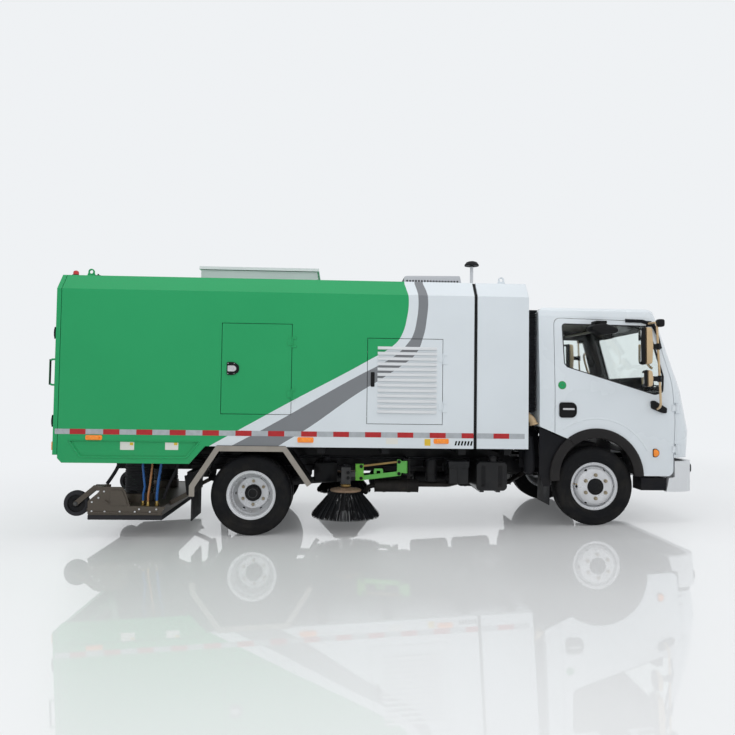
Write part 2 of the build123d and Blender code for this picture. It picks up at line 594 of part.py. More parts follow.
ROOF_BOX = (-582, 568, 700, 118)               # rear X, front X, half width, height
LID_T, LID_REACH = 29, 16
LID_HINGE_R, LID_PIN_R, LID_KNUCKLE_L, LID_PLATE_T = 8, 4, 90, 10
LID_HINGE = (ROOF_BOX[2] + LID_REACH + LID_HINGE_R + 2, ROOF_Z + ROOF_BOX[3] + GAP)       # Y, Z
LID_HINGES_X = (ROOF_BOX[0] + 150, ROOF_BOX[1] - 150)
BOX_WALL = 20
box_mid, box_l = (ROOF_BOX[0] + ROOF_BOX[1]) / 2, ROOF_BOX[1] - ROOF_BOX[0]
with BuildPart() as roof_box:
    with Locations((box_mid, 0, ROOF_Z + ROOF_BOX[3] / 2)):
        Box(box_l, 2 * ROOF_BOX[2], ROOF_BOX[3])
    with Locations((box_mid, 0, ROOF_Z + ROOF_BOX[3] / 2 + BOX_WALL)):
        Box(box_l - 2 * BOX_WALL, 2 * (ROOF_BOX[2] - BOX_WALL), ROOF_BOX[3], mode=Mode.SUBTRACT)
    for x in LID_HINGES_X:
        for end in (-1, 1):
            plate_x = x + end * (LID_KNUCKLE_L / 2 + SEAM + LID_PLATE_T / 2)
            with Locations((plate_x, (ROOF_BOX[2] + LID_HINGE[0] + LID_HINGE_R) / 2, LID_HINGE[1] - 15)):
                Box(LID_PLATE_T, LID_HINGE[0] + LID_HINGE_R - ROOF_BOX[2], 30)
            with Locations((plate_x, LID_HINGE[0], LID_HINGE[1] - 2)):
                Box(LID_PLATE_T, 2 * LID_HINGE_R, 20)
        with Locations(Location((x, LID_HINGE[0], LID_HINGE[1]), (0, 90, 0))):
            Cylinder(LID_PIN_R, LID_KNUCKLE_L + LID_PLATE_T)
keep("roof_box", roof_box.part)

with BuildPart() as roof_box_lid:
    with Locations((box_mid, 0, ROOF_Z + ROOF_BOX[3] + GAP + LID_T / 2)):
        Box(box_l + 2 * LID_REACH, 2 * (ROOF_BOX[2] + LID_REACH), LID_T)
    for x in LID_HINGES_X:
        for end in (-1, 1):
            with Locations((x + end * (LID_KNUCKLE_L + LID_PLATE_T) / 2, LID_HINGE[0] - 9, LID_HINGE[1])):
                Box(LID_PLATE_T + 12, 40, 2 * 12, mode=Mode.SUBTRACT)
        with Locations((x, LID_HINGE[0] - 10, LID_HINGE[1] + 4)):
            Box(LID_KNUCKLE_L, 20, 8)
        with Locations(Location((x, LID_HINGE[0], LID_HINGE[1]), (0, 90, 0))):
            Cylinder(LID_HINGE_R, LID_KNUCKLE_L)
            Cylinder(LID_PIN_R + FIT, LID_KNUCKLE_L + 2, mode=Mode.SUBTRACT)
keep("roof_box_lid", roof_box_lid.part)

# base rear X, top rear X, top front X, base front X, half width, height
VENT = (1401, 1439, 1985, 2020, 905, 46)
STACK = (2161, -500, 16, 2693, 75, 2740)       # X, Y, pipe radius, cap underside, cap radius, top
with BuildPart() as roof_vents:
    with BuildSketch(Plane.XZ.offset(-VENT[4])):
        with BuildLine():
            Polyline((VENT[0], ROOF_Z), (VENT[1], ROOF_Z + VENT[5]), (VENT[2], ROOF_Z + VENT[5]), (VENT[3], ROOF_Z),
                     close=True)
        make_face()
    extrude(amount=2 * VENT[4])
    with BuildSketch(Plane(origin=(STACK[0], STACK[1], 0), x_dir=(1, 0, 0), z_dir=(0, -1, 0))):
        with BuildLine():
            Polyline((0, ROOF_Z), (45, ROOF_Z), (45, ROOF_Z + 10), (STACK[2], ROOF_Z + 10), (STACK[2], STACK[3]),
                     (STACK[4], STACK[3]), (STACK[4], STACK[3] + 12), (STACK[4] - 22, STACK[5] - 8),
                     (STACK[4] - 45, STACK[5]), (0, STACK[5]), close=True)
        make_face()
    revolve(axis=Axis((STACK[0], STACK[1], 0), (0, 0, 1)))
keep("roof_vents", roof_vents.part)

# ---------------------------------------------------------------- fenders, mudguards and bumper
FENDER_T, LIP_W = 4, 50
FENDER_INNER_Y, FENDER_OUTER_Y, LIP_T = 560, BODY_HALF + 2, 8
FENDER = ((-548, 395), (-548, 487), (-319, FLOOR_Z - 2.5), (302, FLOOR_Z - 2.5), (538, 507))
FLAP_T = 8
with BuildPart() as rear_fenders:
    with BuildSketch(side_plane(FENDER_INNER_Y)):
        with BuildLine() as strip_line:
            Polyline(*FENDER)
        trace(line_width=FENDER_T)
    extrude(amount=FENDER_OUTER_Y - FENDER_INNER_Y)
    with BuildSketch(side_plane(FENDER_OUTER_Y)):
        with BuildLine() as lip_line:
            Polyline(*[(x, z - LIP_W / 2 + 8) for x, z in FENDER])
        trace(line_width=LIP_W)
    extrude(amount=LIP_T)
    mirror(about=Plane.XZ)
keep("rear_fenders", rear_fenders.part)

REAR_FLAP = (-548, 146, 430, 600, 1050)        # X, bottom, top, inner Y, outer Y
GUARD_Y_IN, GUARD_Y = 560, 945
STEP = (3745, 3990, 452, 572)                  # rear X, front X, bottom, top
with BuildPart() as mudguards:
    with Locations((REAR_FLAP[0] - FENDER_T / 2 - FLAP_T / 2, -(REAR_FLAP[3] + REAR_FLAP[4]) / 2,
                    (REAR_FLAP[1] + REAR_FLAP[2]) / 2)):
        Box(FLAP_T, REAR_FLAP[4] - REAR_FLAP[3], REAR_FLAP[2] - REAR_FLAP[1])
    with BuildSketch(side_plane(GUARD_Y)):
        with BuildLine():
            Polyline((CAB_REAR, CAB_REAR_Z - GAP - 3), (3020, 928), (2940, 838), (2888, 740), (2862, 640), (2858, 480),
                     (CAB_REAR + 40, 480), (CAB_REAR, 620), close=True)
        make_face()
    extrude(amount=12)
    with BuildSketch(side_plane(GUARD_Y_IN)):
        with BuildLine():
            Polyline((3020, 928), (2940, 838), (2888, 740), (2862, 640), (2850, 300), (2842, 300), (2850, 640),
                     (2876, 744), (2929, 846), (3010, 934), close=True)
        make_face()
    extrude(amount=GUARD_Y - GUARD_Y_IN)
    with Locations(((STEP[0] + STEP[1]) / 2, -(GUARD_Y_IN + 210 + GUARD_Y + 20) / 2, (STEP[2] + STEP[3]) / 2)):
        Box(STEP[1] - STEP[0], GUARD_Y + 20 - GUARD_Y_IN - 210, STEP[3] - STEP[2])
    with Locations((3960, -(RAIL_HALF + GUARD_Y_IN + 215) / 2, 560)):
        Box(50, GUARD_Y_IN + 215 - RAIL_HALF, 24)
    with Locations((CAB_REAR + 70, -(RAIL_HALF + GUARD_Y_IN + 40) / 2, 660)):
        Box(30, GUARD_Y_IN + 40 - RAIL_HALF, 60)
    with Locations((CAB_REAR + 90, -(GUARD_Y_IN + 20 + GUARD_Y) / 2, 660)):
        Box(24, GUARD_Y - GUARD_Y_IN - 20, 60)
    mirror(about=Plane.XZ)
keep("mudguards", mudguards.part)

BUMPER_FRONT, BUMPER_T = 4316, 60
BUMPER_Z, BUMPER_TOP, BUMPER_CORNER = 440, 735, 230
BUMPER_HALF = 968
TOW_R, TOW_X, TOW_T = 17, 4212, 24
with BuildPart() as bumper:
    with BuildSketch(Plane.XY.offset(BUMPER_Z)):
        with Locations(((BUMPER_FRONT + 3600) / 2, 0)):
            RectangleRounded(BUMPER_FRONT - 3600, 2 * BUMPER_HALF, BUMPER_CORNER)
        with Locations(((BUMPER_FRONT + 3600) / 2 - BUMPER_T, 0)):
            RectangleRounded(BUMPER_FRONT - 3600, 2 * (BUMPER_HALF - BUMPER_T), BUMPER_CORNER - BUMPER_T,
                             mode=Mode.SUBTRACT)
    extrude(amount=BUMPER_TOP - BUMPER_Z)
    with BuildSketch(Plane.XZ.offset(-1200)):
        with BuildLine():
            Polyline((3500, 300), (3996, 300), (3996, 450), (4020, 572), (4076, 581), (4076, 900), (3500, 900),
                     close=True)
        make_face()
    extrude(amount=2400, mode=Mode.SUBTRACT)
    for side in (-1, 1):
        with Locations(((RAIL_FRONT + SEAM + BUMPER_FRONT - BUMPER_T + 4) / 2, side * CAB_EAR_Y, 620)):
            Box(BUMPER_FRONT - BUMPER_T + 4 - RAIL_FRONT - SEAM, 2 * CAB_PLATE_T + CAB_EAR_T + 10, 90)
        # plates and pin that the cab tilts on
        for end in (-1, 1):
            plate_y = side * CAB_EAR_Y + end * (CAB_EAR_T + CAB_PLATE_T + 4) / 2
            with BuildSketch(Plane.XZ.offset(-plate_y - CAB_PLATE_T / 2)):
                with BuildLine():
                    Polyline((CAB_PIVOT[0] - 60, 600), (CAB_PIVOT[0] + 30, 600), (CAB_PIVOT[0] + 18, CAB_PIVOT[1] + 16),
                             (CAB_PIVOT[0] - 18, CAB_PIVOT[1] + 16), close=True)
                make_face()
            extrude(amount=CAB_PLATE_T)
        with Locations(Location((CAB_PIVOT[0], side * CAB_EAR_Y, CAB_PIVOT[1]), (90, 0, 0))):
            Cylinder(CAB_PIN_R, CAB_EAR_T + 2 * CAB_PLATE_T)
    with BuildSketch(Plane.XY.offset(500)):
        with Locations((TOW_X + 10, 0)):
            Rectangle(76, 120)
        with Locations((TOW_X, 0)):
            Circle(TOW_R, mode=Mode.SUBTRACT)
    extrude(amount=TOW_T)
keep("bumper", bumper.part)

# ---------------------------------------------------------------- cab


def on_arch(x):
    """Height of the wheel arch's edge above a point X."""
    return ARCH_Z + sqrt(ARCH_R ** 2 - (x - ARCH_X) ** 2)


ARCH_START = (3039, on_arch(3039))      # where the cab's slanting lower edge meets the wheel arch
ARCH_END = (ARCH_X + sqrt(ARCH_R ** 2 - (SILL_Z - ARCH_Z) ** 2), SILL_Z)
# side outline from the arch forwards and over the roof: X, Z, radius of the corner
CAB_OUTLINE = ((4066, SILL_Z, 62), (4066, 772, 4), (4300, 772, 20), (4400, 1400, 20),
               (3937, CAB_ROOF_Z, 190), (CAB_REAR, CAB_ROOF_Z, 70), (CAB_REAR, CAB_REAR_Z, 4))
# plan sections of the cab: height, front X, half width, radius of the front corners
CAB_SECTIONS = ((500, 4240, CAB_HALF, 190), (772, 4257, CAB_HALF, 190), (1031, CAB_FRONT, CAB_HALF, 190),
                (1419, 4200, CAB_HALF, 190), (2140, 3965, 914, 160), (2195, 3947, 897, 150),
                (2230, 3936, 855, 120))


def cab_skin(inset):
    """The cab's walls and front as one closed body, drawn in by an inset, without its arches and floor."""
    rear = CAB_REAR - 400
    with BuildPart() as skin:
        for z, front, half, corner in CAB_SECTIONS:
            with BuildSketch(Plane.XY.offset(z)):
                with Locations(((rear + front - inset) / 2, 0)):
                    RectangleRounded(front - inset - rear, 2 * (half - inset), corner - inset)
        loft(ruled=True)
    return skin.part


def cab_form(inset):
    """The whole cab's shape drawn in by an inset on every side."""
    arch_top = (ARCH_X, ARCH_Z + ARCH_R)
    with BuildPart() as form:
        add(cab_skin(inset))
        with BuildSketch(Plane.XZ):
            with BuildLine():
                FilletPolyline(ARCH_END, *[(x, z) for x, z, _ in CAB_OUTLINE], ARCH_START,
                               radius=[radius for _, _, radius in CAB_OUTLINE])
                ThreePointArc(ARCH_START, arch_top, ARCH_END)
            make_face()
            offset(amount=-inset, kind=Kind.INTERSECTION)
        extrude(amount=CAB_HALF + 50, both=True, mode=Mode.INTERSECT)
        with Locations(((CAB_REAR + CAB_FRONT) / 2, 0, (CAB_FLOOR_Z + inset + 300) / 2)):
            Box(2 * CAB_FRONT, 2 * (FOOTWELL_Y + inset), CAB_FLOOR_Z + inset - 300, mode=Mode.SUBTRACT)
    return form.part


# right door outline from its upper rear corner clockwise: X, Z, corner radius
DOOR_OUTLINE = ((2897, 2118, 60), (3860, 2098, 60), (3922, 1975, 150), (4051, 1513, 700), (4078, 1128, 900),
                (4060, 790, 300), (4058, SILL_Z, 55))
WINDOW = ((2972, 2067, 35), (3835, 2058, 45), (3893, 1865, 200), (3975, 1560, 100), (3962, 1400, 40),
          (3880, 1375, 60), (3018, 1635, 30), (2988, 1670, 25))
SCREEN_LOW, SCREEN_HIGH, SCREEN_HALF_LOW, SCREEN_HALF_HIGH = 1440, 2070, 862, 800
SCREEN_SET = 12             # glass face below the cab's outer face
DOOR_HINGE = (4088, CAB_HALF + 4)
DOOR_HINGES_Z = (850, 1250)
CAB_DOOR_GAP = 4.6          # round a cab door
HINGE_BLOCK = (36, 46)      # length forward of the pin and depth inboard of it, of the cab's hinge blocks
PANEL_REAR, PANEL_LOW, PANEL_HIGH = 4092, 776, 1402


def door_prism(margin, inner_y):
    """Block through the cab's right side in the outline of the door, grown by a margin."""
    rear_low = (DOOR_OUTLINE[0][0], CAB_REAR_Z - (DOOR_OUTLINE[0][0] - CAB_REAR) * ARCH_SLOPE)
    with BuildPart() as prism:
        with BuildSketch(side_plane(inner_y)):
            with BuildLine():
                FilletPolyline(ARCH_START, rear_low, *[(x, z) for x, z, _ in DOOR_OUTLINE],
                               ARCH_END, radius=[4] + [radius for _, _, radius in DOOR_OUTLINE])
                ThreePointArc(ARCH_START, (ARCH_X, ARCH_Z + ARCH_R), ARCH_END)
            make_face()
            if margin:
                offset(amount=margin, kind=Kind.INTERSECTION)
        extrude(amount=CAB_HALF + 60 - inner_y)
    return prism.part


def window_prism(margin):
    """Block through the right door in the outline of its window, drawn in by a margin."""
    with BuildPart() as prism:
        with BuildSketch(side_plane(700)):
            with BuildLine():
                FilletPolyline(*[(x, z) for x, z, _ in WINDOW], radius=[radius for _, _, radius in WINDOW], close=True)
            make_face()
            if margin:
                offset(amount=-margin, kind=Kind.INTERSECTION)
        extrude(amount=400)
    return prism.part


def screen_prism(margin):
    """Block through the front of the cab in the outline of the windscreen, drawn in by a margin."""
    with BuildPart() as prism:
        with BuildSketch(Plane.YZ.offset(3600)) as outline:
            with BuildLine():
                Polyline((-SCREEN_HALF_LOW, SCREEN_LOW), (-SCREEN_HALF_HIGH, SCREEN_HIGH),
                         (SCREEN_HALF_HIGH, SCREEN_HIGH), (SCREEN_HALF_LOW, SCREEN_LOW), close=True)
            make_face()
            fillet(outline.vertices(), 60)
            if margin:
                offset(amount=-margin, kind=Kind.INTERSECTION)
        extrude(amount=900)
    return prism.part


HINGE_CLEAR = DOOR_HINGE_R + 2                   # a door hinge's pin to the block that carries it
HINGE_HALF = DOOR_KNUCKLE_L / 2 + SEAM + LEAF_END_L
HINGE_NOTCH = 26                                 # half length of the recess behind a hinge
ARCH_SLOPE = (CAB_REAR_Z - ARCH_START[1]) / (ARCH_START[0] - CAB_REAR)
PANEL_BOX_W = 2 * CAB_HALF + 100
outer_form, inner_form = cab_form(0), cab_form(CAB_WALL)
outer_skin, inner_skin = cab_skin(0), cab_skin(CAB_WALL)

with BuildPart() as doorways:
    add(cab_skin(-5))
    add(cab_skin(CAB_WALL + 3), mode=Mode.SUBTRACT)
    add(door_prism(CAB_DOOR_GAP, 700), mode=Mode.INTERSECT)
    mirror(about=Plane.XZ)

# everything ahead of the doors and below the windscreen but the cab's floor
with BuildPart() as panel_zone:
    with Locations((PANEL_REAR + 200, 0, (PANEL_LOW + PANEL_HIGH) / 2)):
        Box(400, PANEL_BOX_W, PANEL_HIGH - PANEL_LOW)
    with BuildSketch(Plane.XY.offset(PANEL_LOW - 10)):
        with Locations((PANEL_REAR - 200, 0)):
            RectangleRounded(2 * (CAB_FRONT - CAB_WALL - PANEL_REAR - 22 + 200), 2 * (CAB_HALF - CAB_WALL - 7), 140)
    extrude(amount=CAB_FLOOR_Z + CAB_WALL + 12 - PANEL_LOW, mode=Mode.SUBTRACT)

# room for the doors' hinges, then the blocks, barrels and pins of those hinges and the ears that the cab tilts on
with BuildPart() as hinge_notches:
    for side in (-1, 1):
        for z in DOOR_HINGES_Z:
            with Locations((DOOR_HINGE[0] - HINGE_NOTCH + HINGE_CLEAR, side * (DOOR_HINGE[1] + 3), z)):
                Box(2 * HINGE_NOTCH, 40, 2 * HINGE_HALF + 2)

with BuildPart() as cab_fittings:
    for side in (-1, 1):
        for z in DOOR_HINGES_Z:
            block_x = DOOR_HINGE[0] + (HINGE_BLOCK[0] + HINGE_CLEAR) / 2
            with Locations((block_x, side * (DOOR_HINGE[1] + 1 - HINGE_BLOCK[1] / 2), z)):
                Box(HINGE_BLOCK[0] - HINGE_CLEAR, HINGE_BLOCK[1], 2 * HINGE_HALF)
            with Locations((DOOR_HINGE[0] + 6, side * (DOOR_HINGE[1] - 32), z)):
                Box(20, 24, 2 * HINGE_HALF)
            for end in (-1, 1):
                end_z = z + end * ((DOOR_KNUCKLE_L + LEAF_END_L) / 2 + SEAM)
                with Locations((DOOR_HINGE[0], side * DOOR_HINGE[1], end_z)):
                    Cylinder(DOOR_HINGE_R, LEAF_END_L)
                with Locations((DOOR_HINGE[0] + HINGE_CLEAR, side * (DOOR_HINGE[1] - 4), end_z)):
                    Box(2 * HINGE_CLEAR, 8, LEAF_END_L)
            with Locations((DOOR_HINGE[0], side * DOOR_HINGE[1], z)):
                Cylinder(DOOR_PIN_R, DOOR_KNUCKLE_L + LEAF_END_L)
        with BuildSketch(Plane.XZ.offset(-side * CAB_EAR_Y - CAB_EAR_T / 2)):
            with BuildLine():
                Polyline((CAB_PIVOT[0] - CAB_EAR_R, CAB_PIVOT[1]), (CAB_PIVOT[0] - CAB_EAR_R - 25, CAB_FLOOR_Z + 8),
                         (CAB_PIVOT[0] - 12, CAB_FLOOR_Z + 8), (CAB_PIVOT[0] - 12, CAB_FLOOR_Z - 2),
                         (CAB_PIVOT[0] + CAB_EAR_R, CAB_PIVOT[1] + 10), (CAB_PIVOT[0] + CAB_EAR_R, CAB_PIVOT[1]),
                         close=True)
            make_face()
            with Locations(CAB_PIVOT):
                Circle(CAB_EAR_R)
                Circle(CAB_PIN_R + FIT, mode=Mode.SUBTRACT)
        extrude(amount=CAB_EAR_T)

with BuildPart() as cab_shell:
    add(outer_form)
    add(inner_form, mode=Mode.SUBTRACT)
    add(screen_prism(0), mode=Mode.SUBTRACT)
    add(doorways.part, mode=Mode.SUBTRACT)
    add(panel_zone.part, mode=Mode.SUBTRACT)
    add(hinge_notches.part, mode=Mode.SUBTRACT)
    add(cab_fittings.part)
keep("cab_shell", cab_shell.part)

with BuildPart() as front_panel:
    add(outer_form)
    add(inner_form, mode=Mode.SUBTRACT)
    add(panel_zone.part, mode=Mode.INTERSECT)
    for side in (-1, 1):
        for z in DOOR_HINGES_Z:
            with Locations((DOOR_HINGE[0], side * DOOR_HINGE[1], z)):
                Box(2 * (HINGE_BLOCK[0] + SEAM), 2 * (HINGE_BLOCK[1] - 1 + SEAM), 2 * (HINGE_HALF + SEAM),
                    mode=Mode.SUBTRACT)
keep("front_panel", front_panel.part)

with BuildPart() as windscreen:
    add(cab_skin(SCREEN_SET))
    add(cab_skin(SCREEN_SET + GLASS_T), mode=Mode.SUBTRACT)
    add(screen_prism(SEAM), mode=Mode.INTERSECT)
keep("windscreen", windscreen.part)

with BuildPart() as cab_door:
    add(outer_skin)
    add(inner_skin, mode=Mode.SUBTRACT)
    add(door_prism(0, 700), mode=Mode.INTERSECT)
    add(window_prism(0), mode=Mode.SUBTRACT)
    for z in DOOR_HINGES_Z:
        with Locations((DOOR_HINGE[0] - DOOR_LEAF_L / 2, -DOOR_HINGE[1] + 4, z)):
            Box(DOOR_LEAF_L, 12, DOOR_KNUCKLE_L)
        with Locations((DOOR_HINGE[0], -DOOR_HINGE[1], z)):
            Cylinder(DOOR_HINGE_R, DOOR_KNUCKLE_L)
            Cylinder(DOOR_PIN_R + FIT, DOOR_KNUCKLE_L + 2, mode=Mode.SUBTRACT)
keep_pair("cab_door", cab_door.part)

with BuildPart() as door_glass:
    add(cab_skin(20))
    add(cab_skin(20 + GLASS_T), mode=Mode.SUBTRACT)
    add(window_prism(SEAM), mode=Mode.INTERSECT)
keep_pair("door_glass", door_glass.part)

# rear X, front X, lower Z, upper Z, inner Y, outer Y of each mirror's housing
MIRRORS = ((3712, 3790, 1662, 2020, 1050, 1235), (3732, 3800, 1446, 1618, 1060, 1225),
           (3225, 3510, 1965, 2065, 1010, 1180))
MIRROR_ARM_Y, MIRROR_ARM_R = 1095, 11
MIRROR_ROUTE = ((3836, 905, 2078), (3925, MIRROR_ARM_Y, 2078), (3930, MIRROR_ARM_Y, 1500),
                (3925, MIRROR_ARM_Y, 1262), (3900, 940, 1235))
with BuildPart() as mirrors:
    for rear, front, low, high, inner, outer in MIRRORS:
        with Locations(((rear + front) / 2, -(inner + outer) / 2, (low + high) / 2)):
            Box(front - rear, outer - inner, high - low)
    fillet(mirrors.edges(), 24)
    with BuildLine() as arm_route:
        FilletPolyline(*[(x, -y, z) for x, y, z in MIRROR_ROUTE], radius=[40, 100, 40])
    with BuildSketch(Plane(origin=arm_route.wire() @ 0, z_dir=arm_route.wire() % 0)):
        Circle(MIRROR_ARM_R)
    sweep()
    for rear, front, low, high, _, _ in MIRRORS[:2]:
        with Locations(((front + MIRROR_ROUTE[1][0]) / 2, -MIRROR_ARM_Y, (low + high) / 2)):
            Box(MIRROR_ROUTE[1][0] - front + 10, 24, 40)
    with Locations((3335, -980, 2078)):
        Box(60, 150, 40)
    with Locations((3900, -980, 1238)):
        Box(150, 30, 80)
    add(cab_skin(-SEAM), mode=Mode.SUBTRACT)
keep_pair("mirrors", mirrors.part)

# dashboard outline: X, Z, corner radius
DASH = ((3830, 1270, 20), (3850, 1395, 50), (4300, 1440, 10), (4300, 1080, 10), (3960, 1100, 40))
DASH_HALF = 900
with BuildPart() as dashboard:
    with BuildSketch(Plane.XZ):
        with BuildLine():
            FilletPolyline(*[(x, z) for x, z, _ in DASH], radius=[radius for _, _, radius in DASH], close=True)
        make_face()
    extrude(amount=DASH_HALF, both=True)
    add(cab_form(CAB_WALL + SEAM), mode=Mode.INTERSECT)

WHEEL_CENTRE, WHEEL_R, WHEEL_GRIP = (3775, 450, 1480), 190, 15
WHEEL_TILT = 40                                 # of the steering column from the vertical
column_axis = Vector(sin(radians(WHEEL_TILT)), 0, -cos(radians(WHEEL_TILT)))
wheel_plane_cab = Plane(origin=WHEEL_CENTRE, x_dir=(0, 1, 0), z_dir=column_axis)
COLUMN_FREE = 80                                # shaft between the hub and the dashboard
with BuildPart() as steering_wheel:
    with BuildSketch(Plane(origin=Vector(*WHEEL_CENTRE) + Vector(0, WHEEL_R, 0), x_dir=(0, 1, 0),
                           z_dir=column_axis.cross(Vector(0, 1, 0)))):
        Circle(WHEEL_GRIP)
    revolve(axis=Axis(WHEEL_CENTRE, tuple(column_axis)))
    with BuildSketch(wheel_plane_cab):
        Circle(55)
        for turn in (0, 120, 240):
            with PolarLocations(WHEEL_R / 2, 1, start_angle=turn + 90):
                Rectangle(WHEEL_R, 30)
    extrude(amount=14)
    with BuildSketch(wheel_plane_cab):
        Circle(22)
    extrude(amount=COLUMN_FREE)
keep("steering_wheel", steering_wheel.part)

with BuildPart() as steering_column:
    with BuildSketch(wheel_plane_cab.offset(COLUMN_FREE + SEAM)):
        Circle(34)
    extrude(amount=90)
keep("dashboard", dashboard.part + steering_column.part)

SEAT_FLOOR = ARCH_Z + ARCH_R + CAB_WALL + SEAM
# seats: inner Y, outer Y, on the right (negative) and the left
SEATS = ((-830, -70), (170, 700))
# seat outline: X, Z, corner radius
SEAT_OUTLINE = ((2990, SEAT_FLOOR, 10), (3470, SEAT_FLOOR, 10), (3490, 1210, 50), (3060, 1190, 60),
                (2940, 1640, 40), (2830, 1630, 40))
with BuildPart() as seats:
    for inner, outer in SEATS:
        with BuildSketch(Plane.XZ.offset(-outer)):
            with BuildLine():
                FilletPolyline(*[(x, z) for x, z, _ in SEAT_OUTLINE], radius=[radius for _, _, radius in SEAT_OUTLINE],
                               close=True)
            make_face()
        extrude(amount=outer - inner)
keep("seats", seats.part)

# ---------------------------------------------------------------- side brushes
LINK_T, LINK_H = 20, 44
EAR_T, EAR_GAP = 10, 2
LINKS = (LOWER_LINK_Z, UPPER_LINK_Z)            # front eye heights
POST_BORE = 12 + FIT


def eye(x, z, y_from, y_to, radius):
    """Round boss across the truck between two Y distances on the right side."""
    with BuildPart() as boss:
        with BuildSketch(side_plane(y_from)):
            with Locations((x, z)):
                Circle(radius)
        extrude(amount=y_to - y_from)
    return boss.part


def bar(x0, z0, x1, z1, y_from, y_to, width):
    """Flat link between two eyes, as thick as two Y distances apart."""
    with BuildPart() as link:
        with BuildSketch(side_plane(y_from)):
            with BuildLine():
                Line((x0, z0), (x1, z1))
            trace(line_width=width)
        extrude(amount=y_to - y_from)
    return link.part


link_in, link_out = -LINK_Y - LINK_T / 2, -LINK_Y + LINK_T / 2
ear_in, ear_out = link_in - EAR_GAP, link_out + EAR_GAP

with BuildPart() as brush_post:
    with Locations((POST_X, LINK_Y, 640)):
        Cylinder(24, 120)
    for y_from in (ear_in - EAR_T, ear_out):
        with BuildSketch(side_plane(y_from)):
            with BuildLine():
                Polyline((LINK_FRONT_X - 18, LOWER_LINK_Z - 20), (LINK_FRONT_X + 15, LOWER_LINK_Z - 20),
                         (POST_X - 40, LOWER_LINK_Z + 9), (POST_X - 6, LOWER_LINK_Z + 9),
                         (POST_X - 6, UPPER_LINK_Z + 6), (POST_X - 40, UPPER_LINK_Z + 6),
                         (LINK_FRONT_X + 15, UPPER_LINK_Z + 20), (LINK_FRONT_X - 18, UPPER_LINK_Z + 20),
                         close=True)
            make_face()
        extrude(amount=EAR_T)
    for z in LINKS:
        add(eye(LINK_FRONT_X, z, ear_in - EAR_T, ear_out + EAR_T, PIN_R))
    with Locations((POST_X, LINK_Y, 640)):
        Cylinder(POST_BORE, 130, mode=Mode.SUBTRACT)
keep_pair("brush_post", brush_post.part)

with BuildPart() as brush_arm:
    add(bar(LINK_FRONT_X, LOWER_LINK_Z, LINK_REAR_X, LOWER_LINK_Z - LINK_DROP, link_in, link_out, LINK_H))
    for x, z in ((LINK_FRONT_X, LOWER_LINK_Z), (LINK_REAR_X, LOWER_LINK_Z - LINK_DROP)):
        add(eye(x, z, link_in, link_out, LINK_H / 2))
        add(eye(x, z, link_in - 1, link_out + 1, PIN_R + FIT), mode=Mode.SUBTRACT)
keep_pair("brush_arm", brush_arm.part)

ROD_R, ROD_BOSS_R = 9, 18
with BuildPart() as brush_rod:
    add(bar(LINK_FRONT_X, UPPER_LINK_Z, LINK_REAR_X, UPPER_LINK_Z - LINK_DROP, -LINK_Y - ROD_R, -LINK_Y + ROD_R,
            2 * ROD_R))
    for x, z in ((LINK_FRONT_X, UPPER_LINK_Z), (LINK_REAR_X, UPPER_LINK_Z - LINK_DROP)):
        add(eye(x, z, link_in, link_out, ROD_BOSS_R))
        add(eye(x, z, link_in - 1, link_out + 1, PIN_R + FIT), mode=Mode.SUBTRACT)
keep_pair("brush_rod", brush_rod.part)

MOTOR_Z, MOTOR_TOP, MOTOR_SIDE = 480, 640, 90
SHAFT_R = 20
with BuildPart() as brush_carrier:
    low, high = LOWER_LINK_Z - LINK_DROP, UPPER_LINK_Z - LINK_DROP
    for y_from, y_to in ((ear_in - EAR_T, ear_in), (ear_out, ear_out + EAR_T)):
        with BuildSketch(side_plane(y_from)):
            with Locations((LINK_REAR_X - 15, (low + high) / 2)):
                Rectangle(80, high - low + 44)
        extrude(amount=y_to - y_from)
    for z in (low, high):
        add(eye(LINK_REAR_X, z, ear_in - EAR_T, ear_out + EAR_T, PIN_R))
    with Locations((LINK_REAR_X - 49, LINK_Y, (low + high) / 2)):
        Box(12, 2 * (ear_out + EAR_T + LINK_Y), high - low + 44)
    with Locations(((LINK_REAR_X - 43 + BRUSH_X) / 2, (LINK_Y + BRUSH_Y) / 2, 570)):
        Box(LINK_REAR_X - 43 - BRUSH_X, 50, 50)
    with Locations((BRUSH_X, BRUSH_Y, (MOTOR_Z + MOTOR_TOP) / 2)):
        Box(MOTOR_SIDE, MOTOR_SIDE, MOTOR_TOP - MOTOR_Z)
    with BuildSketch(Plane.XY.offset(MOTOR_Z - 1)):
        with Locations((BRUSH_X, BRUSH_Y)):
            Circle(SHAFT_R + FIT)
    extrude(amount=41, mode=Mode.SUBTRACT)
keep_pair("brush_carrier", brush_carrier.part)

with BuildPart() as side_brush:
    with BuildSketch(Plane(origin=(BRUSH_X, BRUSH_Y, 0), x_dir=(1, 0, 0), z_dir=(0, -1, 0))):
        with BuildLine():
            Polyline((0, PLATE_Z), (105, PLATE_Z), (265, BRISTLE_Z), (BRUSH_R, BRISTLE_Z + 12),
                     (PLATE_R - 8, PLATE_Z), (PLATE_R, PLATE_Z), (PLATE_R, PLATE_Z + PLATE_T - 14),
                     (60, PLATE_Z + PLATE_T), (SHAFT_R, PLATE_Z + PLATE_T), (SHAFT_R, MOTOR_Z + 39),
                     (0, MOTOR_Z + 39), close=True)
        make_face()
    revolve(axis=Axis((BRUSH_X, BRUSH_Y, 0), (0, 0, 1)))
keep_pair("side_brush", side_brush.part)

# ---------------------------------------------------------------- suction head
PLATE_THICK = 12
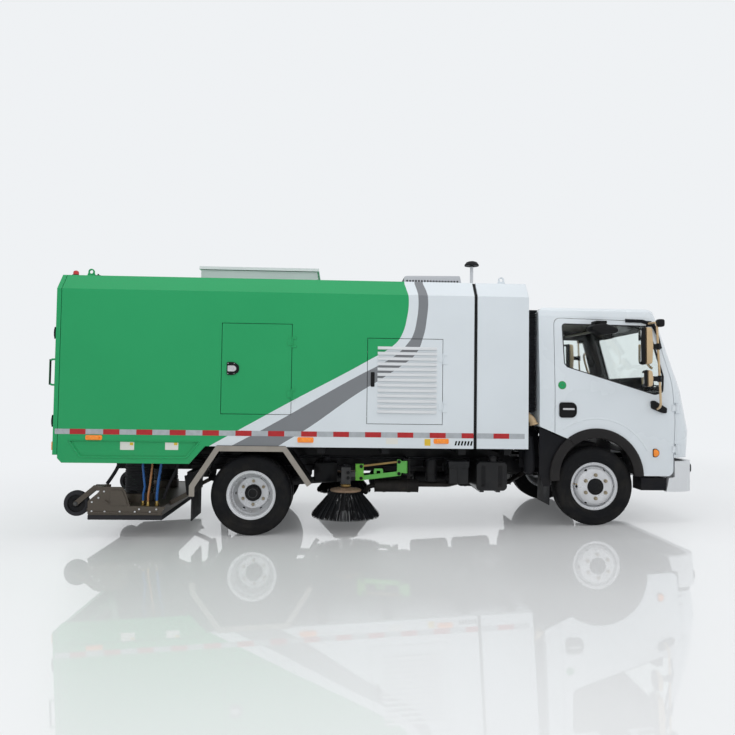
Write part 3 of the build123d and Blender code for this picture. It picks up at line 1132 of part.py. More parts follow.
# outline of a side plate: X, Z
HEAD_PLATE = ((-1454, 380), (-1402, 442), (-1224, 442), (-1190, 395), (-1148, 263), (-815, 257), (-873, HEAD_BOTTOM),
              (HEAD_REAR, HEAD_BOTTOM + 8), (HEAD_REAR, 307))
STUB_TOP = 335
HEAD_STEP = 40              # the box lies this far below the top of the side plates
DUCT_T = 8
with BuildPart() as suction_head:
    with Locations(((HEAD_REAR + HEAD_FRONT) / 2, 0, (HEAD_BOTTOM + HEAD_TOP - HEAD_STEP) / 2)):
        Box(HEAD_FRONT - HEAD_REAR, 2 * (HEAD_HALF - PLATE_THICK), HEAD_TOP - HEAD_STEP - HEAD_BOTTOM)
    with Locations(((HEAD_REAR + HEAD_FRONT) / 2, 0, HEAD_BOTTOM + 20)):
        Box(HEAD_FRONT - HEAD_REAR - 24, 2 * (HEAD_HALF - PLATE_THICK - 12), HEAD_TOP - HEAD_BOTTOM - 50,
            mode=Mode.SUBTRACT)
    for side in (-1, 1):
        with BuildSketch(Plane.XZ.offset(side * (HEAD_HALF - PLATE_THICK / 2) - PLATE_THICK / 2)):
            with BuildLine():
                Polyline(*HEAD_PLATE, close=True)
            make_face()
        extrude(amount=PLATE_THICK)
        with BuildSketch(Plane.XY.offset(HEAD_TOP - HEAD_STEP - 1)):
            with Locations((DUCT_X, side * DUCT_Y)):
                Circle(DUCT_R + 8)
        extrude(amount=STUB_TOP - HEAD_TOP + HEAD_STEP + 1)
        with BuildSketch(Plane.XY.offset(HEAD_BOTTOM)):
            with Locations((DUCT_X, side * DUCT_Y)):
                Circle(DUCT_R - 4)
        extrude(amount=STUB_TOP - HEAD_BOTTOM + 10, mode=Mode.SUBTRACT)
        # drag arm to the pivot
        with BuildSketch(Plane.XZ.offset(side * HEAD_ARM_Y - 8)):
            with BuildLine():
                Line((HEAD_FRONT - 20, 232), HEAD_PIVOT)
            trace(line_width=44)
            with Locations(HEAD_PIVOT):
                Circle(26)
                Circle(14 + FIT, mode=Mode.SUBTRACT)
        extrude(amount=16)
        with BuildSketch(Plane.XZ.offset(side * HEAD_ARM_Y - 9)):
            with Locations(HEAD_PIVOT):
                Circle(14 + FIT)
        extrude(amount=18, mode=Mode.SUBTRACT)
        # fork of the castor wheel
        for y in (CASTOR_Y - CASTOR_W / 2 - 14, CASTOR_Y + CASTOR_W / 2 + 4):
            with BuildSketch(Plane.XZ.offset(side * (y + 5) - 5)):
                with BuildLine():
                    Polyline((CASTOR_X, CASTOR_Z), (-1500, 425), (-1380, 425))
                trace(line_width=46)
                with Locations((CASTOR_X, CASTOR_Z)):
                    Circle(23)
            extrude(amount=10)
        with Locations((-1432, side * (CASTOR_Y + 47), 425)):
            Box(60, 100, 40)
        with BuildSketch(Plane.XZ.offset(side * CASTOR_Y - CASTOR_W / 2 - 8)):
            with Locations((CASTOR_X, CASTOR_Z)):
                Circle(10)
        extrude(amount=CASTOR_W + 16)
        with Locations((-1400, side * (CASTOR_Y - 30), 350)):
            Box(60, 14, 200)
    # rubber skirt round the mouth
    for y in (-(HEAD_HALF - 20), HEAD_HALF - 20):
        with Locations(((HEAD_REAR + HEAD_FRONT) / 2, y, HEAD_BOTTOM - 18)):
            Box(HEAD_FRONT - HEAD_REAR, 10, 60)
    for x in (HEAD_REAR + 5, HEAD_FRONT - 5):
        with Locations((x, 0, HEAD_BOTTOM - 18)):
            Box(10, 2 * (HEAD_HALF - 20), 60)
keep("suction_head", suction_head.part)

with BuildPart() as castor_wheel:
    with BuildSketch(side_plane(CASTOR_Y - CASTOR_W / 2)):
        with Locations((CASTOR_X, CASTOR_Z)):
            Circle(CASTOR_R)
            Circle(10 + FIT, mode=Mode.SUBTRACT)
    extrude(amount=CASTOR_W)
    fillet(castor_wheel.edges().filter_by(GeomType.CIRCLE).group_by(SortBy.RADIUS)[-1], 12)
keep_pair("castor_wheel", castor_wheel.part)

with BuildPart() as suction_ducts:
    for side in (-1, 1):
        with BuildSketch(Plane.XY.offset(STUB_TOP + GAP)):
            with Locations((DUCT_X, side * DUCT_Y)):
                Circle(DUCT_R)
                Circle(DUCT_R - DUCT_T, mode=Mode.SUBTRACT)
        extrude(amount=FLOOR_Z - STUB_TOP - GAP - SEAM)
keep("suction_ducts", suction_ducts.part)

# radius of each hose that feeds the head, then its points from the body floor down: X, Y, Z
HOSE_TOP, HOSE_END = FLOOR_Z - SEAM, HEAD_TOP - HEAD_STEP + SEAM
HOSES = ((13, (-880, -860, HOSE_TOP), (-880, -860, 700), (-915, -845, 480), (-925, -845, 360), (-925, -845, HOSE_END)),
         (11, (-1060, -860, HOSE_TOP), (-1060, -860, 620), (-1040, -850, 430), (-1055, -845, 360),
          (-1055, -845, HOSE_END)),
         (10, (-965, -885, HOSE_TOP), (-965, -885, 640), (-980, -895, 460), (-995, -895, 360), (-995, -895, HOSE_END)))
with BuildPart() as hoses:
    for radius, *route in HOSES:
        with BuildLine() as hose_line:
            FilletPolyline(*route, radius=60)
        with BuildSketch(Plane(origin=hose_line.wire() @ 0, z_dir=hose_line.wire() % 0)):
            Circle(radius)
        sweep()
keep("hoses", hoses.part)

# ---------------------------------------------------------------- finished truck
attitude = Location((0, 0, 0), (0, RAKE, 0))
box = Compound(children=[piece.moved(attitude) for piece in pieces.values()]).bounding_box()
FOOTPRINT_X = (box.min.X + box.max.X) / 2       # footprint centre ahead of the rear axle
seat = Location((-FOOTPRINT_X, 0, 0)) * attitude

if __name__ == "__main__":
    os.makedirs("parts", exist_ok=True)
    for name, piece in pieces.items():
        placed = piece.moved(seat)
        placed.label = name
        export_step(placed, f"parts/{name}.step")
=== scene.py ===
"""Street sweeper truck: finishes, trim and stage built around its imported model."""

import logging
import math
import random
from dataclasses import dataclass
from enum import Enum
from typing import Any, Callable, Iterable, Iterator, Sequence

import bmesh
import bpy
from mathutils import Matrix, Vector


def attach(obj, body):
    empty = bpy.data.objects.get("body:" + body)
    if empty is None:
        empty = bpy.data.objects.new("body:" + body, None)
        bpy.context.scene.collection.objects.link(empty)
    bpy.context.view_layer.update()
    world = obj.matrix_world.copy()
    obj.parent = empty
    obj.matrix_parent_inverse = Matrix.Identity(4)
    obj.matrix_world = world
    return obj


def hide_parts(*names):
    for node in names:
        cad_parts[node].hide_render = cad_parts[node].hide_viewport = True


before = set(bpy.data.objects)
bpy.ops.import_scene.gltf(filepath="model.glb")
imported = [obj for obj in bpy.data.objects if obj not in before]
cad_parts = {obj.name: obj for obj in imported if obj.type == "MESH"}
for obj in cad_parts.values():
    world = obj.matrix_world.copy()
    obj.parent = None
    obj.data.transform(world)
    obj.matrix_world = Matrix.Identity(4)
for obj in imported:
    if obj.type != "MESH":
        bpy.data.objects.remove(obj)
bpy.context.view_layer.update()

log = logging.getLogger("sweeper")

MM = 0.001
RAKE = math.radians(1.78)
REAR_AXLE_X = -1.234381
SEAT = Matrix.Translation((REAR_AXLE_X, 0, 0)) @ Matrix.Rotation(RAKE, 4, "Y")
TO_FRAME = SEAT @ Matrix.Scale(MM, 4)

Colour = tuple[float, float, float]
Point2 = Sequence[float]
Point3 = tuple[float, float, float]
Verts = list[bmesh.types.BMVert]
UP: Point3 = (0, 0, 1)
DOOR = "cab_door_{}"
TAILGATE_X = -1830.0


def srgb(red: int, green: int, blue: int) -> Colour:
    """Linear colour of a screen colour given as 0 to 255."""
    return tuple(((v / 255 + 0.055) / 1.055) ** 2.4 if v > 10 else v / 255 / 12.92 for v in (red, green,
        blue))


class Side(Enum):
    """Side of the truck; the value is the sign of Y."""

    RIGHT = -1
    LEFT = 1

    @property
    def tag(self) -> str:
        """Ending of the names of this side's nodes and bodies."""
        return self.name.lower()


class Across(Enum):
    """Axis that a flat outline is extruded along, with the order of its coordinates."""

    X = 0
    Y = 1
    Z = 2

    def place(self, u: float, v: float, w: float) -> Point3:
        """Point whose outline coordinates are u and v, and whose distance along the axis is w."""
        return ((w, u, v), (u, w, v), (u, v, w))[self.value]


# finishes


class Graph:
    """Node tree of one material under construction."""

    def __init__(self, name: str) -> None:
        """Start a material with its shader and its object coordinates."""
        self.material = bpy.data.materials.new(name)
        self.material.use_nodes = True
        self.nodes = self.material.node_tree.nodes
        self.links = self.material.node_tree.links
        self.shader = self.nodes["Principled BSDF"]
        self.point = self.nodes.new("ShaderNodeTexCoord").outputs["Object"]

    def set(self, socket: Any, value: Any) -> None:
        """Link a socket to another, or give it a value."""
        if isinstance(value, bpy.types.NodeSocket):
            self.links.new(value, socket)
        elif value is not None:
            socket.default_value = value

    def add(self, kind: str, inputs: dict | None = None, output: Any = 0, **settings: Any) -> Any:
        """Add a node.

        Args:
            kind: The node's type without its ShaderNode prefix.
            inputs: Sockets or values by input name or number.
            output: Name or number of the output wanted.
            settings: Properties of the node itself.

        Returns:
            The output socket.
        """
        node = self.nodes.new("ShaderNode" + kind)
        for name, value in settings.items():
            setattr(node, name, value)
        for key, value in (inputs or {}).items():
            self.set(node.inputs[key], value)
        return node.outputs[output]

    def maths(self, operation: str, a: Any, b: Any = None, clamp: bool = False) -> Any:
        """Result of one operation on two values."""
        return self.add("Math", {0: a, 1: b}, operation=operation, use_clamp=clamp)

    def above(self, value: Any, limit: Any) -> Any:
        """Mask of where a value is over a limit."""
        return self.maths("GREATER_THAN", value, limit)

    def below(self, value: Any, limit: Any) -> Any:
        """Mask of where a value is under a limit."""
        return self.maths("LESS_THAN", value, limit)

    def noise(self, scale: float, detail: float = 3.0, stretch: Point3 | None = None) -> Any:
        """Fractal noise on object coordinates, 0 to 1."""
        point = self.add("Mapping", {"Vector": self.point, "Scale": stretch}) if stretch else self.point
        return self.add("TexNoise", {"Vector": point, "Scale": scale, "Detail": detail})

    def ramp(self, value: Any, low: float, high: float, to_low: float = 0.0, to_high: float = 1.0) -> Any:
        """Value carried smoothly from one range to another."""
        return self.add("MapRange", {"Value": value, "From Min": low, "From Max": high, "To Min": to_low,
            "To Max": to_high}, interpolation_type="SMOOTHSTEP")

    def mix(self, factor: Any, first: Any, second: Any) -> Any:
        """Blend of two colours."""
        node = self.nodes.new("ShaderNodeMix")
        node.data_type = "RGBA"
        self.set(node.inputs[0], factor)
        self.set(node.inputs[6], (*first, 1) if isinstance(first, tuple) else first)
        self.set(node.inputs[7], (*second, 1) if isinstance(second, tuple) else second)
        return node.outputs[2]

    def chassis_point(self) -> dict[str, Any]:
        """Coordinates in the truck's own raked frame, in metres: x, y, z and the distance from the middle."""
        turned = self.add("Mapping", {"Vector": self.point, "Location": (REAR_AXLE_X, 0, 0),
            "Rotation": (0, RAKE, 0)}, vector_type="TEXTURE")
        node = self.nodes.new("ShaderNodeSeparateXYZ")
        self.set(node.inputs[0], turned)
        x, y, z = node.outputs
        return {"x": x, "y": y, "z": z, "off": self.maths("ABSOLUTE", y)}


class Pattern(Enum):
    """Colour layouts that follow the place on the truck."""

    PLAIN = "plain"
    LIVERY = "livery"
    CAB = "cab"
    LIP = "lip"
    TREAD = "tread"
    HOSE = "hose"
    CARRIER = "carrier"
    STACK = "stack"
    HEAD = "head"


@dataclass(frozen=True)
class Curve:
    """A boundary of the livery: heights and distances forward, in millimetres."""

    points: tuple[tuple[float, float], ...]
    low: Point2 = (-600.0, 600.0)
    span: Point2 = (2600.0, 1900.0)

    def ahead(self, graph: Graph, x: Any, z: Any) -> Any:
        """Mask of the surface ahead of the boundary."""
        height = graph.maths("DIVIDE", graph.maths("SUBTRACT", z, self.low[1] * MM), self.span[1] * MM)
        node = graph.nodes.new("ShaderNodeFloatCurve")
        curve = node.mapping.curves[0]
        placed = sorted(((pz - self.low[1]) / self.span[1], (px - self.low[0]) / self.span[0]) for px,
            pz in self.points)
        while len(curve.points) < len(placed):
            curve.points.new(0.5, 0.5)
        for point, place in zip(curve.points, placed):
            point.location = place
        node.mapping.extend = "HORIZONTAL"
        node.mapping.update()
        graph.set(node.inputs["Value"], height)
        edge = graph.maths("MULTIPLY_ADD", node.outputs[0], self.span[0] * MM)
        edge.node.inputs[2].default_value = self.low[0] * MM
        return graph.above(x, edge)


GREEN_EDGE = Curve(((1418, 2415), (1444, 2305), (1450, 2274), (1438, 2086), (1377, 1889), (1315, 1815),
    (1066, 1660), (350, 1267), (-134, 994), (-337, 880), (-400, 843)))
GREY_EDGE = Curve(((1516, 2417), (1542, 2276), (1531, 2061), (1489, 1896), (1465, 1857), (1348, 1730),
    (1184, 1626), (998, 1528), (80, 996), (-132, 882), (-205, 843)))
WHITE_EDGE = Curve(((1598, 2418), (1633, 2278), (1624, 2063), (1593, 1898), (1522, 1733), (1389, 1620),
    (1271, 1540), (1139, 1453), (1000, 1368), (485, 1001), (298, 887), (230, 843)))

DUST = (0.24, 0.21, 0.17)
DARK = 0.06
LEAF, BAND_GREY, CHALK = srgb(38, 160, 98), srgb(128, 131, 135), srgb(222, 229, 234)
CAB_SECTIONS = ((500, 4240, 972, 190), (772, 4257, 972, 190), (1031, 4274, 972, 190), (1419, 4200, 972, 190),
    (2140, 3965, 914, 160), (2195, 3947, 897, 150), (2230, 3936, 855, 120))


@dataclass(frozen=True)
class Finish:
    """One finish of the truck and the node material that gives it."""

    name: str
    slot: str
    colour: Colour
    roughness: float = 0.5
    metallic: float = 0.0
    coat: float = 0.0
    specular: float = 0.5
    ior: float = 1.45
    sheen: float = 0.0
    transmission: float = 0.0
    glow: float = 0.0
    tone: float = 0.08
    tone_scale: float = 3.0
    grain: float = 0.15
    grain_scale: float = 900.0
    edge: float = 1.5
    dust: float = 0.15
    wear: float = 0.0
    bare: Colour = (0.35, 0.33, 0.31)
    pattern: Pattern = Pattern.PLAIN

    def layout(self, graph: Graph) -> Any:
        """Base colour before its variation, dust and wear; the livery and cab patterns paint shade dark on
        faces inside the outer skin.
        """
        if self.pattern is Pattern.PLAIN:
            return self.colour
        at = graph.chassis_point()
        if self.pattern is Pattern.LIP:
            return graph.mix(graph.above(at["off"], 1.0805), self.colour, srgb(158, 152, 144))
        if self.pattern is Pattern.TREAD:
            return graph.mix(graph.ramp(graph.noise(9, 4), 0.45, 0.7), self.colour, (0.014, 0.0135, 0.013))
        if self.pattern is Pattern.HOSE:
            middle = graph.maths("MULTIPLY", graph.above(at["x"], -1.03),
                graph.below(at["x"], -0.945))
            return graph.mix(middle, self.colour, (0.45, 0.2, 0.08))
        if self.pattern is Pattern.CARRIER:
            return graph.mix(graph.above(at["x"], 0.9745), (0.014, 0.0145, 0.016),
                self.colour)
        if self.pattern is Pattern.HEAD:
            high = graph.maths("MULTIPLY", graph.above(at["z"], 0.402),
                graph.below(at["x"], -1.36))
            arms = graph.maths("MAXIMUM", high, graph.below(at["x"], -1.548))
            return graph.mix(arms, self.colour, (0.007, 0.0075, 0.008))
        if self.pattern is Pattern.STACK:
            return graph.mix(graph.below(at["x"], 1.418), self.colour, (0.05, 0.052, 0.055))
        if self.pattern is Pattern.LIVERY:
            painted = graph.mix(GREEN_EDGE.ahead(graph, at["x"], at["z"]), LEAF, CHALK)
            painted = graph.mix(GREY_EDGE.ahead(graph, at["x"], at["z"]), painted, BAND_GREY)
            painted = graph.mix(WHITE_EDGE.ahead(graph, at["x"], at["z"]), painted, CHALK)
            # Painted shade: faces more than 16 mm inside the body's outer skin, in the gaps and inside the
            # body, are painted dark grey.
            half = graph.ramp(at["z"], 2.293, 2.441, 1.08, 0.95)
            half.node.interpolation_type = "LINEAR"
            deep = graph.below(at["off"], graph.maths("SUBTRACT", half, 0.016))
            deep = graph.maths("MULTIPLY", deep, graph.below(at["z"], 2.422))
            deep = graph.maths("MULTIPLY", deep, graph.above(at["z"], 0.846))
            deep = graph.maths("MULTIPLY", deep, graph.above(at["x"], -1.82))
            return graph.mix(graph.maths("MULTIPLY", deep, graph.below(at["x"], 2.6)), painted,
                (0.1, 0.105, 0.1))
        # Painted shade: faces more than 14 mm inside the cab's outer skin, such as its inner faces, are
        # painted near black.
        heights = [s[0] for s in CAB_SECTIONS]
        radius = self.cab_line(graph, at["z"], heights, 3)
        into = [graph.maths("SUBTRACT", at[name], graph.maths("SUBTRACT", self.cab_line(graph, at["z"],
            heights, column), radius)) for name, column in (("x", 1), ("off", 2))]
        squares = [graph.maths("POWER", graph.maths("MAXIMUM", value, 0.0), 2.0) for value in into]
        reach = graph.maths("SQRT", graph.maths("ADD", *squares))
        inside = graph.below(reach, graph.maths("SUBTRACT", radius, 0.014))
        inside = graph.maths("MULTIPLY", inside, graph.above(at["x"], 2.759))
        inside = graph.maths("MULTIPLY", inside, graph.below(at["z"], 2.212))
        return graph.mix(inside, self.colour, (0.045, 0.046, 0.05))

    def cab_line(self, graph: Graph, z: Any, heights: Sequence[float], column: int) -> Any:
        """One size of the cab's plan sections at a height, in straight runs between them."""
        total: Any = CAB_SECTIONS[0][column] * MM
        for lower, upper in zip(CAB_SECTIONS, CAB_SECTIONS[1:]):
            step = graph.ramp(z, lower[0] * MM, upper[0] * MM, 0.0, (upper[column] - lower[column]) * MM)
            step.node.interpolation_type = "LINEAR"
            total = graph.maths("ADD", total, step)
        return total

    def material(self) -> bpy.types.Material:
        """The finish's material, made once.

        Returns:
            The node material.
        """
        if self.name in bpy.data.materials:
            return bpy.data.materials[self.name]
        graph = Graph(self.name)
        shader = graph.shader
        colour = self.layout(graph)
        cloud = graph.noise(self.tone_scale, 4)
        colour = graph.mix(graph.ramp(cloud, 0.3, 0.7, 0.0, self.tone), colour, (0.01, 0.01, 0.01))
        rough = graph.ramp(cloud, 0.3, 0.7, self.roughness - 0.04, self.roughness + 0.08)
        if self.wear:
            rounded = graph.add("Bevel", {"Radius": 0.006}, samples=4)
            flat = graph.add("NewGeometry", output="Normal")
            facing = graph.add("VectorMath", {0: rounded, 1: flat}, "Value", operation="DOT_PRODUCT")
            edges = graph.ramp(graph.maths("ADD", facing, graph.maths("MULTIPLY", graph.noise(40, 5), 0.1)),
                1.0, 0.93)
            scuffs = graph.ramp(graph.noise(14, 8), 0.62, 0.7)
            worn = graph.maths("MULTIPLY", graph.maths("MAXIMUM", edges, scuffs), self.wear)
            colour = graph.mix(worn, colour, self.bare)
        if self.dust:
            separate = graph.nodes.new("ShaderNodeSeparateXYZ")
            graph.set(separate.inputs[0], graph.point)
            low = graph.ramp(separate.outputs["Z"], 1.1, 0.05, 0.0, self.dust)
            settled = graph.maths("MULTIPLY", low, graph.ramp(graph.noise(6, 6), 0.35, 0.75))
            colour = graph.mix(settled, colour, DUST)
            rough = graph.maths("ADD", rough, graph.maths("MULTIPLY", settled, 0.3), clamp=True)
        normal = graph.add("Bevel", {"Radius": self.edge * MM}, samples=4) if self.edge else None
        fine = graph.noise(self.grain_scale, 2)
        normal = graph.add("Bump", {"Height": fine, "Strength": min(1.0, self.grain), "Distance": 0.0006,
            "Normal": normal})
        graph.set(shader.inputs["Base Color"], (*colour, 1) if isinstance(colour, tuple) else colour)
        graph.set(shader.inputs["Roughness"], rough)
        graph.set(shader.inputs["Normal"], normal)
        shader.inputs["Metallic"].default_value = self.metallic
        shader.inputs["Specular IOR Level"].default_value = 0.14 if max(self.colour) < DARK else self.specular
        shader.inputs["IOR"].default_value = self.ior
        shader.inputs["Coat Weight"].default_value = self.coat
        shader.inputs["Coat Roughness"].default_value = 0.06
        shader.inputs["Sheen Weight"].default_value = self.sheen
        shader.inputs["Transmission Weight"].default_value = self.transmission
        if self.glow:
            shader.inputs["Emission Color"].default_value = (*self.colour, 1)
            shader.inputs["Emission Strength"].default_value = self.glow
        return graph.material


@dataclass(frozen=True)
class Woven(Finish):
    """Cloth with a fine over-and-under weave and a fleck."""

    thread: float = 2.4

    def layout(self, graph: Graph) -> Any:
        """Dark cloth with lighter flecks where the threads cross."""
        pitch = math.tau / (self.thread * MM) / math.tau
        warp = graph.add("TexWave", {"Vector": graph.point, "Scale": pitch / 3.2, "Distortion": 0.4}, "Fac",
            bands_direction="Y")
        weft = graph.add("TexWave", {"Vector": graph.point, "Scale": pitch / 3.2, "Distortion": 0.4}, "Fac",
            bands_direction="DIAGONAL")
        crossing = graph.maths("MULTIPLY", warp, weft)
        fleck = graph.maths("MULTIPLY", crossing, graph.ramp(graph.noise(160, 2), 0.45, 0.6))
        return graph.mix(fleck, self.colour, tuple(min(1.0, c * 1.9) for c in self.colour))


LIVERY = Finish("livery_paint", "body_paint", LEAF, 0.34, coat=0.15, specular=0.25, tone=0.04, tone_scale=1.3,
    grain=0.03, grain_scale=260, edge=3, dust=0.12, pattern=Pattern.LIVERY)
GREEN = Finish("green_paint", "body_paint", LEAF, 0.34, coat=0.15, specular=0.25, tone=0.04, grain=0.03,
    grain_scale=260, edge=3)
WHITE = Finish("white_paint", "white_paint", CHALK, 0.3, coat=0.35, tone=0.03, tone_scale=1.4, grain=0.03,
    grain_scale=260, edge=3, dust=0.1)
CAB = Finish("cab_paint", "white_paint", CHALK, 0.26, coat=0.5, tone=0.02, tone_scale=1.2, grain=0.02,
    grain_scale=220, edge=4, dust=0.1, pattern=Pattern.CAB)
VENTS = Finish("roof_vent_paint", "white_paint", srgb(188, 191, 196), 0.32, coat=0.3, tone=0.04, edge=2,
    pattern=Pattern.STACK)
ROOF_GREY = Finish("roof_box_paint", "white_paint", srgb(205, 208, 212), 0.35, coat=0.2, tone=0.04, edge=2)
TYRE = Finish("tyre_rubber", "tyre", (0.007, 0.0075, 0.009), 0.58, tone=0.25, tone_scale=8, grain=0.5,
    grain_scale=700, edge=0, dust=0.04, pattern=Pattern.TREAD)
RIM = Finish("wheel_silver", "rim_silver", (0.66, 0.67, 0.69), 0.28, 0.4, tone=0.05, tone_scale=6, grain=0.04,
    edge=0.4, dust=0.05)
NUT = Finish("nut_bronze", "rim_silver", (0.42, 0.36, 0.26), 0.42, 0.7, tone=0.2, tone_scale=60, edge=1)
# Painted shade: this near-black finish stands in for the shade inside holes, slots and openings.
HOLE_SHADE = Finish("deep_shadow", "plastic_black", (0.004, 0.004, 0.004), 0.9, tone=0.2, edge=0, dust=0.05)
CHASSIS = Finish("chassis_paint", "chassis_black", (0.006, 0.0065, 0.008), 0.46, coat=0.1, tone=0.2,
    tone_scale=6, grain=0.5, grain_scale=240, edge=2, dust=0.05, wear=0.12, bare=(0.06, 0.05, 0.04))
CAST = Finish("cast_iron", "cast_iron", (0.022, 0.021, 0.02), 0.62, 0.2, tone=0.3, tone_scale=12, grain=0.9,
    grain_scale=320, edge=3, dust=0.12, wear=0.25, bare=(0.1, 0.08, 0.06))
TANK = Finish("tank_gloss", "tank_black", (0.007, 0.0075, 0.009), 0.3, coat=0.3, tone=0.15, grain=0.12,
    edge=2, dust=0.05)
PLASTIC = Finish("moulded_black", "plastic_black", (0.009, 0.0095, 0.012), 0.5, tone=0.15, tone_scale=7,
    grain=0.8, grain_scale=650, edge=2, dust=0.05)
FLARE = Finish("flare_black", "plastic_black", (0.013, 0.012, 0.0125), 0.4, coat=0.15, tone=0.15, grain=0.6,
    grain_scale=500, edge=2, dust=0.08)
STEEL = Finish("heated_steel", "exhaust_steel", (0.022, 0.02, 0.019), 0.42, 0.3, tone=0.35, tone_scale=9,
    grain=0.5, grain_scale=200, edge=1, dust=0.08, wear=0.3, bare=(0.05, 0.035, 0.025))
BRIGHT = Finish("plated_steel", "rim_silver", (0.6, 0.6, 0.61), 0.25, 1.0, tone=0.1, tone_scale=30, grain=0.1,
    edge=1)
FENDER = Finish("fender_black_grey_lip", "fender_black", (0.012, 0.012, 0.012), 0.45, tone=0.1, tone_scale=9,
    grain=0.3, edge=1.5, dust=0.2, pattern=Pattern.LIP)
GLASS = Finish("tinted_glass", "glass", (0.9, 0.94, 0.93), 0.02, ior=1.18, transmission=1.0, tone=0.0,
    grain=0.0, edge=0, dust=0.0)
TRIM = Finish("cab_trim", "trim_grey", (0.035, 0.036, 0.04), 0.55, tone=0.15, tone_scale=5, grain=0.9,
    grain_scale=800, edge=4, dust=0)
GRIP = Finish("grip_black", "trim_black", (0.012, 0.012, 0.013), 0.45, tone=0.1, grain=0.9, grain_scale=1100,
    edge=2, dust=0)
CLOTH = Woven("seat_cloth", "seat_fabric", (0.018, 0.019, 0.022), 0.85, sheen=0.2, tone=0.2, tone_scale=6,
    grain=1.0, grain_scale=420, edge=0, dust=0)
LINK = Finish("linkage_green", "linkage_green", srgb(100, 185, 50), 0.36, coat=0.25, tone=0.1, tone_scale=9,
    grain=0.15, edge=2, dust=0.15, wear=0.5, bare=(0.05, 0.1, 0.03))
CARRIER = Finish("carrier_green_black", "linkage_green", srgb(100, 185, 50), 0.4, coat=0.2, tone=0.1,
    tone_scale=9, grain=0.2, edge=2, dust=0.15, pattern=Pattern.CARRIER)
HOSES = Finish("feed_hoses", "rubber", (0.02, 0.13, 0.42), 0.4, tone=0.15, tone_scale=20, edge=0,
    pattern=Pattern.HOSE)
BRUSH_PLATE = Finish("brush_plate", "rod_bronze", (0.3, 0.2, 0.13), 0.5, 0.25, tone=0.3, tone_scale=18,
    grain=0.6, grain_scale=300, edge=2, dust=0.3, wear=0.4, bare=(0.42, 0.32, 0.22))
LINING = Finish("cab_lining", "trim_grey", srgb(176, 172, 160), 0.8, sheen=0.15, tone=0.08, grain=1.0,
    grain_scale=900, edge=3, dust=0)
BRONZE = Finish("bronze_paint", "rod_bronze", (0.32, 0.21, 0.07), 0.35, 0.55, tone=0.15, tone_scale=12,
    edge=1)
BRISTLE = Finish("bristle_dark", "bristle", (0.008, 0.009, 0.011), 0.5, 0.2, tone=0.4, tone_scale=70,
    grain=0.3, edge=0, dust=0.04)
BRISTLE_GREY = Finish("bristle_grey", "bristle", (0.05, 0.055, 0.062), 0.45, 0.1, tone=0.4, tone_scale=70,
    grain=0.3, edge=0, dust=0.05)
HEAD = Finish("head_steel", "head_steel", (0.058, 0.05, 0.041), 0.42, 0.1, tone=0.3, tone_scale=7, grain=0.5,
    grain_scale=260, edge=2, dust=0.1, pattern=Pattern.HEAD)
RUBBER = Finish("rubber", "rubber", (0.009, 0.0095, 0.0105), 0.6, tone=0.2, grain=0.6, grain_scale=500,
    edge=1, dust=0.06)
AMBER = Finish("amber_lens", "plastic_black", (0.95, 0.27, 0.01), 0.18, coat=0.6, glow=0.12, tone=0.15,
    tone_scale=45, grain=0.2, grain_scale=250, edge=1, dust=0.05)
RED_LENS = Finish("red_lens", "plastic_black", (0.55, 0.008, 0.01), 0.18, coat=0.6, glow=0.08, tone=0.2,
    tone_scale=45, grain=0.2, grain_scale=250, edge=1, dust=0.05)
CLEAR = Finish("lamp_clear", "glass", (0.9, 0.92, 0.94), 0.03, transmission=1.0, tone=0, grain=0.0, edge=0,
    dust=0)
CHROME = Finish("lamp_bowl", "rim_silver", (0.85, 0.86, 0.88), 0.08, 1.0, tone=0.05, grain=0.0, edge=0,
    dust=0)
TAPE_RED = Finish("tape_red", "body_paint", srgb(178, 14, 22), 0.35, coat=0.3, tone=0.12, tone_scale=30,
    grain=0.5, grain_scale=330, edge=0, dust=0.1)
TAPE_SILVER = Finish("tape_silver", "body_paint", srgb(176, 181, 186), 0.35, 0.15, coat=0.3, tone=0.12,
    tone_scale=30, grain=0.5, grain_scale=330, edge=0, dust=0.1)
LABEL = Finish("blank_label", "white_paint", srgb(228, 228, 222), 0.45, tone=0.04, edge=0)
YELLOW = Finish("blank_label_yellow", "white_paint", srgb(226, 190, 60), 0.45, tone=0.04, edge=0)
DISC = Finish("green_disc", "linkage_green", srgb(52, 150, 84), 0.35, coat=0.3, tone=0.15, tone_scale=40,
    edge=0)
BEIGE = Finish("beige_shell", "rod_bronze", srgb(206, 178, 138), 0.3, 0.1, coat=0.3, tone=0.08, tone_scale=9,
    edge=2)
MIRROR = Finish("mirror_glass", "rim_silver", (0.82, 0.84, 0.85), 0.03, 1.0, tone=0, grain=0.0, edge=0,
    dust=0)
BRASS = Finish("brass", "rod_bronze", (0.55, 0.38, 0.12), 0.3, 1.0, tone=0.2, tone_scale=50, edge=1)


# mesh work


def rect(left: float, right: float, low: float, high: float, radius: float = 0.0) -> list[Point2]:
    """Outline between two limits on each of its axes, its corners rounded to a radius."""
    return [(left, low, radius), (right, low, radius), (right, high, radius), (left, high, radius)]


def around(u: float, v: float, radius: float, count: int, start: float = 0.0) -> Iterator[Point2]:
    """Places spaced evenly round a centre, the first at an angle in degrees."""
    for index in range(count):
        angle = math.radians(start + 360 / count * index)
        yield u + radius * math.cos(angle), v + radius * math.sin(angle)


